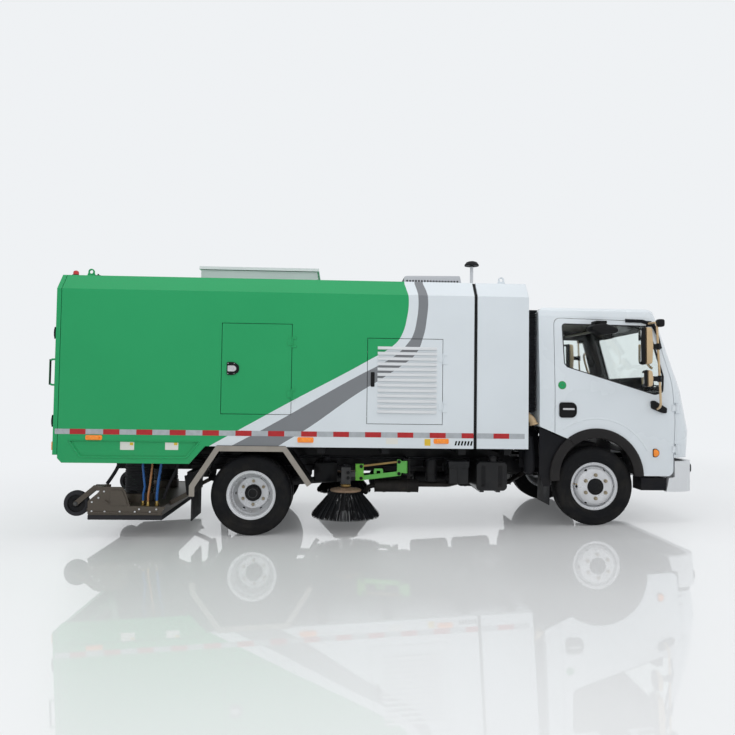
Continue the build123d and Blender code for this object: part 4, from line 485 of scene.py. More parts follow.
def flat_face(part: bmesh.types.BMesh, outline: Sequence[Point2], near: float, across: Across,
        steps: int) -> None:
    """Start a mesh with one face whose corners are rounded to their radii."""
    corners = [part.verts.new(across.place(p[0], p[1], near)) for p in outline]
    part.faces.new(corners)
    count = len(outline)
    for index, (corner, place) in enumerate(zip(corners, outline)):
        if len(place) > 2 and place[2]:
            here = Vector(place[:2])
            back = (Vector(outline[index - 1][:2]) - here).normalized()
            ahead = (Vector(outline[(index + 1) % count][:2]) - here).normalized()
            half_turn = (math.pi - back.angle(ahead)) / 2
            bmesh.ops.bevel(part, geom=[corner], offset=place[2] * math.tan(half_turn), segments=steps,
                profile=0.5, affect="VERTICES", material=-1)


class Solid:
    """A mesh under construction, in millimetres in the chassis frame: X forward, Y left, Z up."""

    def __init__(self) -> None:
        """Start an empty mesh."""
        self.bm = bmesh.new()

    def take(self, part: bmesh.types.BMesh) -> Verts:
        """Add another mesh to this one.

        Returns:
            The vertices that were added.
        """
        before = len(self.bm.verts)
        mesh = bpy.data.meshes.new("part")
        part.to_mesh(mesh)
        part.free()
        self.bm.from_mesh(mesh)
        bpy.data.meshes.remove(mesh)
        self.bm.verts.ensure_lookup_table()
        return self.bm.verts[before:]

    def block(self, x: Point2, y: Point2, z: Point2, edge: float = 0.0, steps: int = 2) -> Verts:
        """Box between two limits on each axis, with its edges rounded."""
        part = bmesh.new()
        bmesh.ops.create_cube(part, size=1)
        spans = [(a + b) / 2 for a, b in (x, y, z)]
        bmesh.ops.scale(part, vec=[abs(b - a) for a, b in (x, y, z)], verts=part.verts)
        bmesh.ops.translate(part, vec=spans, verts=part.verts)
        if edge:
            bmesh.ops.bevel(part, geom=part.edges[:], offset=edge, segments=steps, profile=0.5,
                affect="EDGES", material=-1)
        return self.take(part)

    def plate(self, outline: Iterable[Point2], near: float, far: float, across: Across = Across.Y,
            edge: float = 0.0, steps: int = 5, slices: tuple[int, Iterable[float]] | None = None) -> Verts:
        """Flat outline extruded between two distances along an axis.

        Args:
            outline: Corners as u, v and, where a corner is rounded, its radius.
            near: First distance along the axis.
            far: Second distance.
            across: The axis.
            edge: Bevel round both ends.
            steps: Segments of each rounded corner.
            slices: An axis and the places on it where the plate is divided, so that it can follow a curve.

        Returns:
            The new vertices.
        """
        part = bmesh.new()
        outline = list(outline)
        flat_face(part, outline, near, across, steps)
        ends = bmesh.ops.extrude_face_region(part, geom=part.faces[:])["geom"]
        moved = [v for v in ends if isinstance(v, bmesh.types.BMVert)]
        bmesh.ops.translate(part, vec=across.place(0, 0, far - near), verts=moved)
        bmesh.ops.recalc_face_normals(part, faces=part.faces[:])
        if edge:
            caps = {f for f in part.faces if abs(f.normal[across.value]) > 0.999
                and len(f.verts) >= len(outline)}
            rims = [e for e in part.edges if len(caps.intersection(e.link_faces)) == 1]
            bmesh.ops.bevel(part, geom=rims, offset=edge, segments=2, profile=0.5, affect="EDGES",
                material=-1)
        for place in slices[1] if slices else ():
            plane = [0.0, 0.0, 0.0]
            plane[slices[0]] = 1.0
            bmesh.ops.bisect_plane(part, geom=[*part.verts, *part.edges, *part.faces],
                plane_co=[place * n for n in plane], plane_no=plane, dist=0.01)
        return self.take(part)

    def spin(self, profile: Iterable[Point2], centre: Point3, axis: Point3 = (0, -1, 0), steps: int = 48,
            start: float = 0.0, sweep: float = 360.0, closed: bool | None = None) -> Verts:
        """Profile of radius and distance along an axis, spun about it.

        Args:
            profile: Radius and distance pairs.
            centre: A point on the axis where the distance is nought.
            axis: Its direction.
            steps: Segments of the spin.
            start: Angle at which it starts, from forward towards up, in degrees.
            sweep: Angle that it covers.
            closed: Whether the last point joins the first; left out, it does where no point is on the axis.

        Returns:
            The new vertices.
        """
        part = bmesh.new()
        profile = list(profile)
        if closed is None:
            closed = all(radius for radius, _ in profile)
        line, origin = Vector(axis).normalized(), Vector(centre)
        out = Vector((1, 0, 0)) if abs(line.x) < 0.9 else Vector(UP)
        out = (out - line * out.dot(line)).normalized()
        verts = [part.verts.new(origin + out * r + line * a) for r, a in profile]
        pairs = list(zip(verts, verts[1:])) + ([(verts[-1], verts[0])] if closed else [])
        edges = [part.edges.new(pair) for pair in pairs]
        if start:
            bmesh.ops.rotate(part, cent=origin, matrix=Matrix.Rotation(math.radians(start), 3, line),
                verts=verts)
        full = abs(sweep) >= 360
        bmesh.ops.spin(part, geom=verts + edges, cent=origin, axis=line, dvec=(0, 0, 0),
            angle=math.radians(sweep), steps=steps, use_merge=full, use_duplicate=False,
            use_normal_flip=False)
        bmesh.ops.remove_doubles(part, verts=part.verts[:], dist=0.01)
        if not full:
            bmesh.ops.holes_fill(part, edges=[e for e in part.edges if e.is_boundary], sides=0)
        bmesh.ops.recalc_face_normals(part, faces=part.faces[:])
        return self.take(part)

    def rod(self, points: Sequence[Point3], radius: float, smooth: bool = True, sides: int = 3) -> Verts:
        """Round rod or hose along a route, closed at both ends."""
        data = bpy.data.curves.new("route", "CURVE")
        data.dimensions, data.use_fill_caps = "3D", True
        data.bevel_depth, data.bevel_resolution = radius, sides
        data.resolution_u = 5
        spline = data.splines.new("NURBS" if smooth else "POLY")
        spline.points.add(len(points) - 1)
        for knot, place in zip(spline.points, points):
            knot.co = (*place, 1)
        if smooth:
            spline.order_u = 3
            spline.use_endpoint_u = True
        holder = bpy.data.objects.new("route", data)
        bpy.context.scene.collection.objects.link(holder)
        mesh = bpy.data.meshes.new_from_object(holder.evaluated_get(bpy.context.evaluated_depsgraph_get()))
        bpy.data.objects.remove(holder)
        part = bmesh.new()
        part.from_mesh(mesh)
        bpy.data.meshes.remove(mesh)
        bmesh.ops.remove_doubles(part, verts=part.verts[:], dist=0.01)
        bmesh.ops.recalc_face_normals(part, faces=part.faces[:])
        return self.take(part)

    def bolt(self, at: Point3, size: float, height: float, axis: Point3 = (0, -1, 0), sides: int = 6) -> None:
        """Hexagon head or, with more sides, a round one, standing on a surface."""
        part = bmesh.new()
        bmesh.ops.create_cone(part, cap_ends=True, segments=sides, radius1=size, radius2=size * 0.92,
            depth=height)
        turn = Vector(UP).rotation_difference(Vector(axis)).to_matrix().to_4x4()
        bmesh.ops.transform(part, matrix=Matrix.Translation(Vector(at) + Vector(axis) * height / 2) @ turn,
            verts=part.verts)
        self.take(part)

    def shift(self, verts: Iterable[bmesh.types.BMVert], move: Callable[[Vector], Vector]) -> None:
        """Move vertices by a rule of their place, and turn their faces outwards again."""
        moved = set(verts)
        for vert in moved:
            vert.co = move(vert.co)
        bmesh.ops.recalc_face_normals(self.bm, faces=[f for f in self.bm.faces if f.verts[0] in moved])

    def turn(self, verts: Verts, centre: Point3, axis: Point3, degrees: float) -> None:
        """Turn vertices about an axis through a point."""
        bmesh.ops.rotate(self.bm, cent=centre, matrix=Matrix.Rotation(math.radians(degrees), 3, axis),
            verts=verts)

    def piece(self, name: str, finish: Finish, body: str, side: Side | None = None, smooth: float = 35.0,
            replaces: Sequence[str] = ()) -> bpy.types.Object:
        """Make the finished object, hang it on its body and start afresh.

        Args:
            name: Name of the piece, without its side.
            finish: Its finish.
            body: CAD body that it moves with; a brace pair stands for the side.
            side: Side of the truck; a left piece is the mirror of the right one that was modelled.
            smooth: Angle under which edges look smooth.
            replaces: CAD nodes that it stands for.

        Returns:
            The object.
        """
        if side is Side.LEFT:
            bmesh.ops.scale(self.bm, vec=(1, -1, 1), verts=self.bm.verts[:])
            bmesh.ops.reverse_faces(self.bm, faces=self.bm.faces[:])
        bmesh.ops.transform(self.bm, matrix=TO_FRAME, verts=self.bm.verts[:])
        full = f"{name}_{side.tag}" if side else name
        mesh = bpy.data.meshes.new(full)
        mesh.materials.append(finish.material())
        self.bm.to_mesh(mesh)
        self.bm.free()
        self.bm = bmesh.new()
        mesh.shade_smooth()
        mesh.set_sharp_from_angle(angle=math.radians(smooth))
        obj = bpy.data.objects.new(full, mesh)
        bpy.context.scene.collection.objects.link(obj)
        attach(obj, body.format(side.tag if side else ""))
        if replaces:
            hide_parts(*(node.format(side.tag if side else "") for node in replaces))
        return obj


def dress(finish: Finish, *nodes: str) -> None:
    """Give CAD nodes a finish; a brace pair in a name stands for both sides."""
    for pattern in nodes:
        for side in Side if "{}" in pattern else (None,):
            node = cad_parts[pattern.format(side.tag if side else "")]
            node.data.materials.clear()
            node.data.materials.append(finish.material())
            log.info("%s dressed in %s", node.name, finish.name)


def cab_side(z: float) -> float:
    """Half width of the cab at a height."""
    for lower, upper in zip(CAB_SECTIONS, CAB_SECTIONS[1:]):
        if z <= upper[0]:
            return lower[2] + (upper[2] - lower[2]) * max(0.0, z - lower[0]) / (upper[0] - lower[0])
    return CAB_SECTIONS[-1][2]


def cab_nose(y: float, z: float) -> float:
    """How far forward the cab's front reaches at a distance off the middle and a height."""
    z = min(max(z, CAB_SECTIONS[0][0]), CAB_SECTIONS[-1][0])
    for lower, upper in zip(CAB_SECTIONS, CAB_SECTIONS[1:]):
        if z <= upper[0]:
            share = (z - lower[0]) / (upper[0] - lower[0])
            front, half, radius = (a + (b - a) * share for a, b in zip(lower[1:], upper[1:]))
            break
    into = max(0.0, abs(y) - (half - radius))
    return front - radius + math.sqrt(max(0.0, radius ** 2 - min(into, radius) ** 2))


def on_cab_side(point: Vector) -> Vector:
    """Place whose Y is a height above the cab's right side, carried onto that side."""
    return Vector((point.x, -(cab_side(point.z) + point.y), point.z))


def on_cab_nose(point: Vector) -> Vector:
    """Place whose X is a height above the cab's front, carried onto that front."""
    return Vector((cab_nose(point.y, point.z) + point.x, point.y, point.z))


def ring(solid: Solid, outline: Sequence[Point2], margin: float, near: float, far: float,
        across: Across = Across.Y) -> Verts:
    """Frame of even width round the outside of a closed outline.

    Args:
        solid: The mesh that it joins.
        outline: Corners, each with its radius.
        margin: Width of the frame outwards, or inwards where it is negative.
        near: First distance along the axis.
        far: Second distance.
        across: The axis.

    Returns:
        The new vertices.
    """
    part = bmesh.new()
    flat_face(part, outline, near, across, 6)
    inner = bmesh.ops.inset_region(part, faces=part.faces[:], thickness=abs(margin), use_even_offset=True,
        use_outset=margin > 0, use_boundary=True)["faces"]
    middle = [f for f in part.faces if f not in inner]
    bmesh.ops.delete(part, geom=middle, context="FACES_ONLY")
    for _ in range(5):
        long = [e for e in part.edges if e.calc_length() > 60]
        if long:
            bmesh.ops.subdivide_edges(part, edges=long, cuts=1, use_grid_fill=True)
    ends = bmesh.ops.extrude_face_region(part, geom=part.faces[:])["geom"]
    moved = [v for v in ends if isinstance(v, bmesh.types.BMVert)]
    bmesh.ops.translate(part, vec=across.place(0, 0, far - near), verts=moved)
    bmesh.ops.recalc_face_normals(part, faces=part.faces[:])
    return solid.take(part)


# wheels


@dataclass
class Wheels:
    """Tyres, pressed steel wheels, nuts and hub caps of both axles."""

    tyre_r: float = 380.0
    front: tuple[float, float] = (3294.6, 482.6)
    rear: tuple[float, float] = (-11.8, 379.8)
    front_y: float = 849.0
    outer_y: float = 911.0
    inner_y: float = 675.0
    studs: int = 6
    stud_pcr: float = 112.0
    steps: int = 96
    groove: float = 8.0

    def tyre(self, solid: Solid, centre: Point3) -> None:
        """One tyre with its sidewall rings, shoulder notches and tread grooves."""
        side = [(203, 72), (214, 73), (224, 75.5), (231, 79), (237, 85), (246, 90), (254, 93), (259, 93.5),
            (261, 95.5), (265, 95.5), (267, 94.5), (285, 97.5), (299, 99), (301, 100), (306, 100), (308, 99),
            (325, 98.4), (341, 96), (352, 92.5), (361, 88), (369, 82), (375, 75.5), (378.6, 68), (379.8, 60)]
        crown = [(self.tyre_r, 51), (371, 50), (371, 43), (self.tyre_r, 42), (self.tyre_r, 20), (371, 19),
            (371, 12), (self.tyre_r, 11)]
        half = side + crown
        profile = half + [(r, -a) for r, a in reversed(half)]
        verts = solid.spin(profile, centre, steps=self.steps)
        own = set(verts)
        notches = []
        for face in solid.bm.faces:
            if face.verts[0] not in own:
                continue
            middle = face.calc_center_median() - Vector(centre)
            radius, out = math.hypot(middle.x, middle.z), abs(middle.y)
            step = int((math.atan2(middle.z, middle.x) + math.pi) / math.tau * self.steps)
            if (360 < radius < 378 and 68 < out < 90 or radius > 379 and 51 < out < 61) and step % 3 == 0:
                notches.append(face)
        bmesh.ops.inset_region(solid.bm, faces=notches, thickness=1.6, depth=-self.groove * 0.6,
            use_even_offset=True)

    def barrel(self) -> list[Point2]:
        """Section of a wheel's rim."""
        well = [(203, 56), (203, 30), (196, 20), (184, 8), (184, -8), (196, -20), (203, -30), (203, -56)]
        outside = [(230.5, 82), (230.5, 74), (226, 71), (212, 69), (204, 62)] + well + [(204, -62),
            (212, -69), (226, -71), (230.5, -74), (230.5, -82)]
        inside = [(226, -82), (221, -77), (209, -75), (199, -68), (196, -56), (196, -30), (190, -20),
            (178, -7), (178, 7), (190, 20), (196, 30), (196, 56), (199, 68), (209, 75), (221, 77), (226, 82)]
        return outside + inside

    def steel(self, solid: Solid, centre: Point3, disc: Sequence[Point2]) -> None:
        """Pressed wheel: its rim and its disc."""
        solid.spin(self.barrel(), centre, steps=72)
        solid.spin(disc, centre, steps=72)

    def hand_holes(self, centre: Point3, radius: float, out: float, lean: Point2, side: Side, body: str,
            name: str) -> None:
        """Six lipped hand holes round the disc; lean is its shoulder's slope, as radial and outward shares."""
        lips, holes = Solid(), Solid()
        for index in range(self.studs):
            angle = math.radians(60 * index)
            away = Vector((math.cos(angle), 0, math.sin(angle)))
            axis = tuple(away * lean[0] + Vector((0, -lean[1], 0)))
            at = tuple(Vector(centre) + away * radius + Vector((0, -out, 0)))
            lips.spin([(14, -4), (18, -4), (18, 5), (16.5, 6.6), (14, 5.8)], at, axis, steps=24)
            # Each hole is a near-black disc set in its lip: painted shade where the hole would open.
            holes.spin([(0, 5.2), (14.4, 5.2), (14.4, -3), (0, -3)], at, axis, steps=24)
        lips.piece(f"{name}_lips", RIM, body, side)
        holes.piece(name, HOLE_SHADE, body, side)

    def nuts(self, centre: Point3, face_y: float, side: Side, body: str, name: str) -> None:
        """Six wheel nuts on their studs, each with a washer face and a stud end."""
        solid = Solid()
        for x, z in around(centre[0], centre[2], self.stud_pcr, self.studs, 30):
            solid.spin([(0, 0), (18, 0), (18, 3), (15.5, 5)], (x, face_y, z), steps=20)
            solid.bolt((x, face_y - 3, z), 17, 18)
            solid.spin([(0, 14), (9, 14), (9, 29), (7.5, 31), (0, 31)], (x, face_y, z), steps=14)
        solid.piece(name, NUT, body, side, smooth=25)

    def front_wheel(self, side: Side) -> None:
        """Front wheel of one side with a domed disc and a black hub."""
        x, z = self.front
        centre, body = (x, -self.front_y, z), "wheel_front_{}"
        solid = Solid()
        self.tyre(solid, centre)
        solid.piece("tyre_tread_front", TYRE, body, side, replaces=["tyre_front_{}"])
        disc = [(80, 115), (88, 117), (138, 117), (150, 115.5), (162, 110), (172, 102), (181, 90), (188, 76),
            (193, 60), (196, 44), (197, 24), (187, 24), (184, 44), (180, 62), (173, 80), (163, 93),
            (150, 102), (138, 104), (80, 104)]
        self.steel(solid, centre, disc)
        solid.piece("wheel_steel_front", RIM, body, side, replaces=["rim_front_{}"])
        self.hand_holes(centre, 176.5, 96, (0.8, 0.6), side, body, "hand_holes_front")
        self.nuts(centre, -self.front_y - 117, side, body, "wheel_nuts_front")
        solid.spin([(0, 128), (30, 128), (52, 126), (62, 119), (76, 118), (80, 112), (80, 60), (0, 60)],
            centre)
        solid.spin([(0, 132), (22, 132), (26, 128), (26, 120)], centre, steps=24)
        for u, v in around(x, z, 43, 5, 20):
            solid.bolt((u, -self.front_y - 126, v), 6, 5)
        solid.piece("hub_front", CHASSIS, body, side)
        solid.rod([(x - 190, -self.front_y - 62, z + 20), (x - 186, -self.front_y - 80, z + 20),
            (x - 176, -self.front_y - 104, z + 19)], 4.5)
        solid.piece("tyre_valve_front", BRASS, body, side)

    def rear_wheel(self, side: Side) -> None:
        """Twin rear wheels of one side with a dished disc."""
        x, z = self.rear
        body = "wheel_rear_{}"
        outer, inner = (x, -self.outer_y, z), (x, -self.inner_y, z)
        solid = Solid()
        self.tyre(solid, outer)
        self.tyre(solid, inner)
        solid.piece("tyre_tread_rear", TYRE, body, side, replaces=["tyres_rear_{}"])
        dish = [(80, -106), (142, -106), (154, -103), (163, -95), (170, -80), (177, -62), (184, -44),
            (190, -30), (196, -20), (196, -8), (186, -16), (178, -34), (170, -54), (162, -74), (155, -88),
            (148, -96), (142, -97), (80, -97)]
        self.steel(solid, outer, dish)
        solid.spin(self.barrel(), inner, steps=72)
        solid.spin([(80, 118), (150, 118), (172, 100), (190, 30), (196, 22), (196, 10), (184, 14), (164, 90),
            (146, 108), (80, 108)], inner, steps=72)
        solid.piece("wheel_steel_rear", RIM, body, side, replaces=["rims_rear_{}"])
        self.hand_holes(outer, 166, -64, (-0.93, 0.37), side, body, "hand_holes_rear")
        self.nuts(outer, -self.outer_y + 104, side, body, "wheel_nuts_rear")
        solid.spin([(0, -44), (34, -44), (44, -47), (68, -48), (74, -54), (77, -60), (77, -190), (0, -190)],
            outer)
        for u, v in around(x, z, 56, 8):
            solid.bolt((u, -self.outer_y + 47.5, v), 7, 6)
        solid.piece("hub_rear", CHASSIS, body, side)

    def build(self) -> None:
        """Both axles' wheels and the finish of what carries them."""
        for side in Side:
            self.front_wheel(side)
            self.rear_wheel(side)
        dress(CAST, "axles", "knuckle_{}", "propshaft")


# sweeper body


@dataclass
class SweeperBody:
    """Hopper body, its doors, tailgate, roof gear and everything fixed to its panels."""

    half: float = 1080.0
    tape_z: tuple[float, float] = (942.0, 991.0)
    tape_t: float = 1.2
    red: tuple[tuple[float, float], ...] = ((-1677, -1532), (-1372, -1223), (-1069, -922), (-764, -616),
        (-462, -309), (-157, -7), (145, 297), (454, 601), (754, 902), (1053, 1204), (1358, 1508),
        (1663, 1815), (1966, 2080))
    front_red: tuple[float, float] = (2270, 2420)
    markers: tuple[tuple[float, float, float, float], ...] = ((-1531, -1380, 890, 935), (420, 571, 886, 936),
        (1701, 1844, 888, 936))

    def tape(self, side: Side) -> None:
        """Reflective tape along the lower side, red blocks between silver ones."""
        ends = [-1812.0, *[x for span in self.red for x in span]]
        silver = list(zip(ends[::2], ends[1::2])) + [(2113, self.front_red[0]), (self.front_red[1], 2568)]
        for name, finish, spans in (("tape_silver", TAPE_SILVER, silver), ("tape_red", TAPE_RED,
                [*self.red, self.front_red])):
            solid = Solid()
            for rear, front in spans:
                if front - rear > 2:
                    solid.plate([(rear, self.tape_z[0], 3), (front, self.tape_z[0], 3),
                        (front, self.tape_z[1], 3), (rear, self.tape_z[1], 3)], -self.half,
                        -self.half - self.tape_t)
            solid.piece(name, finish, "chassis", side)

    def side_lamps(self, side: Side) -> None:
        """Amber side markers on their bases."""
        bases, lenses = Solid(), Solid()
        for rear, front, low, high in self.markers:
            middle = (low + high) / 2
            bases.plate(rect(rear, front, low, high, 12), -self.half, -self.half - 7, edge=1.5)
            lenses.plate(rect(rear + 22, front - 22, low + 4, high - 4, 10), -self.half - 5, -self.half - 24,
                edge=5)
            for x in (rear + 48, front - 48):
                lenses.spin([(0, 24), (7, 24), (13, 21), (13, 15), (0, 15)], (x, -self.half - 3, middle),
                    steps=20)
            for x in (rear + 11, front - 11):
                bases.bolt((x, -self.half - 7, middle), 5, 3, sides=12)
        for name, solid in (("marker_base", bases), ("marker_lens", lenses)):
            solid.piece(name, AMBER, "chassis", side)

    def labels(self, side: Side) -> None:
        """Blank labels, the slanted vent slots and the small marks beside them."""
        white, yellow, slots = Solid(), Solid(), Solid()
        deep = self.half - 8
        for rear, front, low, high in ((-1216, -1088, 801, 878), (-804, -683, 805, 883)):
            white.plate(rect(rear, front, low, high, 4), -deep, -deep - 1)
            yellow.plate(rect(front - 40, front - 8, high - 34, high - 8, 2), -deep - 0.8, -deep - 1.5)
        white.plate(rect(1251, 1364, 880, 937, 4), -self.half, -self.half - 1)
        yellow.plate(rect(1615, 1672, 869, 932, 3), -self.half, -self.half - 1)
        # The vent slots are thin near-black plates: painted shade inside the openings.
        for index in range(6):
            rear = 1899 + index * 29.5
            slots.plate([(rear, 874, 4), (rear + 16, 874, 4), (rear + 27, 916, 4), (rear + 11, 916, 4)],
                -self.half, -self.half - 1.5)
        white.piece("blank_label_white", LABEL, "chassis", side)
        yellow.piece("blank_label_yellow", YELLOW, "chassis", side)
        slots.piece("vent_slots", HOLE_SHADE, "chassis", side)

    def pressings(self, side: Side) -> None:
        """Rolled bead round the skirt's pressed panel and the rubber over the wheel arch."""
        solid = Solid()
        outline = [(-1680, 887, 30), (-1576, 735, 40), (-612, 737, 40), (-500, 880, 30)]
        ring(solid, outline, 9, -self.half + 4, -self.half - 1)
        bead = [(-1684, 884), (-1672, 868), (-1590, 745), (-1570, 731), (-618, 732), (-598, 744), (-496, 872),
            (-484, 884)]
        solid.rod([(x, -self.half + 2, z) for x, z in bead + bead[:2]], 9, smooth=False, sides=5)
        ring(solid, outline, -8, -self.half + 8, -self.half + 1)
        solid.piece("skirt_bead", GREEN, "chassis", side, smooth=60)
        arch = [(-560, 500), (-560, 484), (-441, 668), (-325, 852), (310, 852), (425, 690), (548, 506),
            (540, 500), (298, 842), (-316, 842), (-430, 664)]
        solid.plate(arch, -1046, -self.half - 4)
        solid.piece("fender_rubber", RUBBER, "chassis", side)

    def cabinet_lock(self, side: Side) -> None:
        """Paddle lock of the side locker: plated plate, black dish and paddle."""
        body = "cabinet_door_{}"
        solid = Solid()
        plate = [(-249, 1510, 14), (-180, 1510, 50), (-135, 1542, 30), (-135, 1598, 30), (-180, 1630, 50),
            (-249, 1630, 14)]
        solid.plate(plate, -self.half, -self.half - 4, edge=1.5)
        ring(solid, plate, -7, -self.half - 3, -self.half - 9)
        solid.piece("locker_lock_plate", GRIP, body, side)
        solid.plate([(-241, 1542, 6), (-178, 1542, 24), (-160, 1560, 16), (-160, 1580, 16), (-178, 1598, 24),
            (-241, 1598, 6)], -self.half - 3, -self.half - 12, edge=2)
        solid.spin([(0, 19), (11, 19), (12, 17), (12, 10), (0, 10)], (-196, -self.half, 1570), steps=24)
        for x, z in ((-238, 1522), (-238, 1618), (-180, 1521), (-180, 1619)):
            solid.bolt((x, -self.half - 4, z), 5, 2.5, sides=12)
        solid.piece("locker_lock_paddle", BRIGHT, body, side)

    def engine_door(self, side: Side) -> None:
        """Pressed hoods over the louvre slots, a near-black sheet behind them as painted shade, and the latch.
        """
        body = "louvre_door_{}"
        solid = Solid()
        for index in range(13):
            z = 1180 + index * 50
            hood = [(-self.half - 0.5, z + 20), (-self.half - 6, z + 15), (-self.half - 10.5, z + 3),
                (-self.half - 11, z - 9), (-self.half - 9.5, z - 9), (-self.half - 9, z + 2),
                (-self.half - 4.8, z + 12), (-self.half + 1, z + 16)]
            for vert in solid.plate(hood, 1162, 1728, Across.X, slices=(0, (1172, 1718))):
                if min(vert.co.x - 1162, 1728 - vert.co.x) < 1:
                    vert.co.y = -self.half + 0.5
        solid.piece("louvre_hoods", WHITE, body, side, smooth=50)
        # Near-black sheet behind the slots: painted shade of the space behind them.
        solid.block((1150, 1740), (-self.half + 31, -self.half + 34), (1150, 1810))
        solid.piece("louvre_screen", HOLE_SHADE, body, side)
        solid.plate(rect(1099, 1136, 1417, 1556, 8), -self.half, -self.half - 5, edge=1.5)
        solid.plate(rect(1106, 1129, 1430, 1515, 5), -self.half - 5, -self.half - 13, edge=2)
        solid.spin([(0, 12), (8, 12), (9, 10), (9, 4), (0, 4)], (1117, -self.half, 1537), steps=20)
        solid.piece("engine_door_latch", GRIP, body, side)

    def rear_lamps(self, side: Side) -> None:
        """Cluster of rear lamps low on the tailgate, the tape beside it and the buffers."""
        rear, body = TAILGATE_X, "tailgate"
        black, red, amber, clear = Solid(), Solid(), Solid(), Solid()
        black.plate(rect(-1040, -700, 778, 878, 14), rear, rear - 16, Across.X, edge=3)
        for solid, low, high in ((amber, -1032, -932), (red, -924, -812), (clear, -804, -708)):
            solid.plate(rect(low, high, 788, 868, 8), rear - 14, rear - 30, Across.X, edge=4)
        black.piece("rear_lamp_base", PLASTIC, body, side)
        red.piece("rear_lamp_red", RED_LENS, body, side)
        amber.piece("rear_lamp_amber", AMBER, body, side)
        clear.piece("rear_lamp_white", LABEL, body, side)
        silver, tape = Solid(), Solid()
        for index in range(5):
            low = -1050 + index * 210
            for solid, start in ((tape, low), (silver, low + 105)):
                solid.plate(rect(start, start + 103, 942, 991, 3), rear, rear - 1.2, Across.X)
        for index in range(4):
            low = 1060 + index * 280
            for solid, start in ((silver, low), (tape, low + 140)):
                solid.plate(rect(-1058, -1010, start, start + 138, 3), rear, rear - 1.2, Across.X)
        silver.piece("rear_tape_silver", TAPE_SILVER, body, side)
        tape.piece("rear_tape_red", TAPE_RED, body, side)
        solid = Solid()
        solid.rod([(rear, -1000, 1395), (rear - 73, -1000, 1395), (rear - 73, -1000, 1634),
            (rear, -1000, 1634)][1:3], 9.8, smooth=False)
        for z in (1395, 1634):
            solid.spin([(0, 0), (26, 0), (26, 4), (22, 6), (0, 6)], (rear, -1000, z), (-1, 0, 0), steps=24)
        solid.piece("tailgate_grab_sleeve", GRIP, body, side)
        solid = Solid()
        for z in (1060, 1880):
            solid.block((rear - 26, rear), (-1064, -1016), (z - 34, z + 34), 6)
            solid.rod([(rear - 20, -1040, z - 55), (rear - 34, -1040, z), (rear - 20, -1040, z + 55)], 7)
        solid.piece("tailgate_catch", PLASTIC, body, side)

    def tailgate_face(self) -> None:
        """Pressed ribs, centre stop lamp and blank plate of the tailgate."""
        rear = TAILGATE_X
        solid = Solid()
        outline = rect(-880, 880, 1110, 2180, 50)
        ring(solid, outline, 26, rear + 1, rear - 7, Across.X)
        for y in (-290, 290):
            solid.plate(rect(y - 20, y + 20, 1110, 2180, 3), rear + 1, rear - 8, Across.X, edge=4)
        solid.piece("tailgate_ribs", GREEN, "tailgate", smooth=60)
        solid.plate(rect(-230, 230, 800, 915, 8), rear, rear - 5, Across.X, edge=1)
        solid.piece("blank_plate", LABEL, "tailgate")
        solid.plate(rect(-170, 170, 2216, 2244, 10), rear, rear - 16, Across.X, edge=4)
        solid.piece("high_stop_lamp", RED_LENS, "tailgate")

    def roof(self) -> None:
        """Roof lamps, vent holes and the finish of the roof gear."""
        dress(ROOF_GREY, "roof_box")
        dress(WHITE, "roof_box_lid")
        solid = Solid()
        solid.plate([(1398, 2441), (1424, 2500, 10), (1446, 2508, 14), (1968, 2516, 10), (1984, 2441)], -905,
            905, edge=5)
        solid.piece("vent_hood", VENTS, "chassis", replaces=["roof_vents"])
        for side in Side:
            # The vent holes are near-black discs: painted shade inside them.
            for index in range(18):
                x = 1450 + index * 29
                solid.spin([(0, 1), (9, 1), (9, -1), (0, -1)], (x, -905, 2458), steps=20, closed=True)
            solid.piece("vent_holes", HOLE_SHADE, "chassis", side)
            base, lens = Solid(), Solid()
            base.block((-1762, -1702), (-912, -868), (2441, 2453), 3)
            lens.spin([(27, 0), (27, 22), (22, 34), (12, 40), (0, 42), (0, 0)], (-1732, -890, 2453), UP,
                steps=28)
            base.piece("roof_lamp_base", GRIP, "chassis", side)
            lens.piece("roof_lamp_red", RED_LENS, "chassis", side)
            solid.block((-1545, -1490), (-925, -885), (2441, 2449), 2)
            solid.block((-1522, -1512), (-918, -892), (2448, 2462), 2)
            solid.piece("roof_bracket", GRIP, "chassis", side)
        solid.spin([(0, 240), (18, 240), (24, 251), (74, 251), (75, 262), (54, 290), (31, 298), (0, 299)],
            (2161, -500, 2441), UP, steps=40)
        solid.piece("stack_cap", GRIP, "chassis")
        solid.spin([(45, 0), (45, 9), (40, 12), (22, 14), (17, 20), (17, 244), (0, 244), (0, 0)],
            (2161, -500, 2441), UP, steps=36)
        for u, v in around(2161, -500, 33, 4, 45):
            solid.bolt((u, v, 2453), 5, 5, UP)
        solid.piece("stack_pipe", ROOF_GREY, "chassis")

    def neck(self) -> None:
        """Near-black band filling the groove between the hopper body and the front box."""
        solid = Solid()
        section = [(-1074, 846), (-1074, 2288), (-947, 2434), (947, 2434), (1074, 2288), (1074, 846)]
        inner = [(y * 0.985, z - (8 if z > 2000 else 0)) for y, z in reversed(section)]
        solid.plate(section + inner, 2083, 2109, Across.X)
        solid.piece("neck_gaiter", GRIP, "chassis")

    def build(self) -> None:
        """The whole body."""
        dress(LIVERY, "body_shell", "front_compartment", "tailgate", "cabinet_door_{}", "louvre_door_{}")
        for side in Side:
            for make in (self.tape, self.side_lamps, self.labels, self.pressings, self.cabinet_lock,
                    self.engine_door, self.rear_lamps):
                make(side)
        self.tailgate_face()
        self.roof()
        self.neck()


# chassis


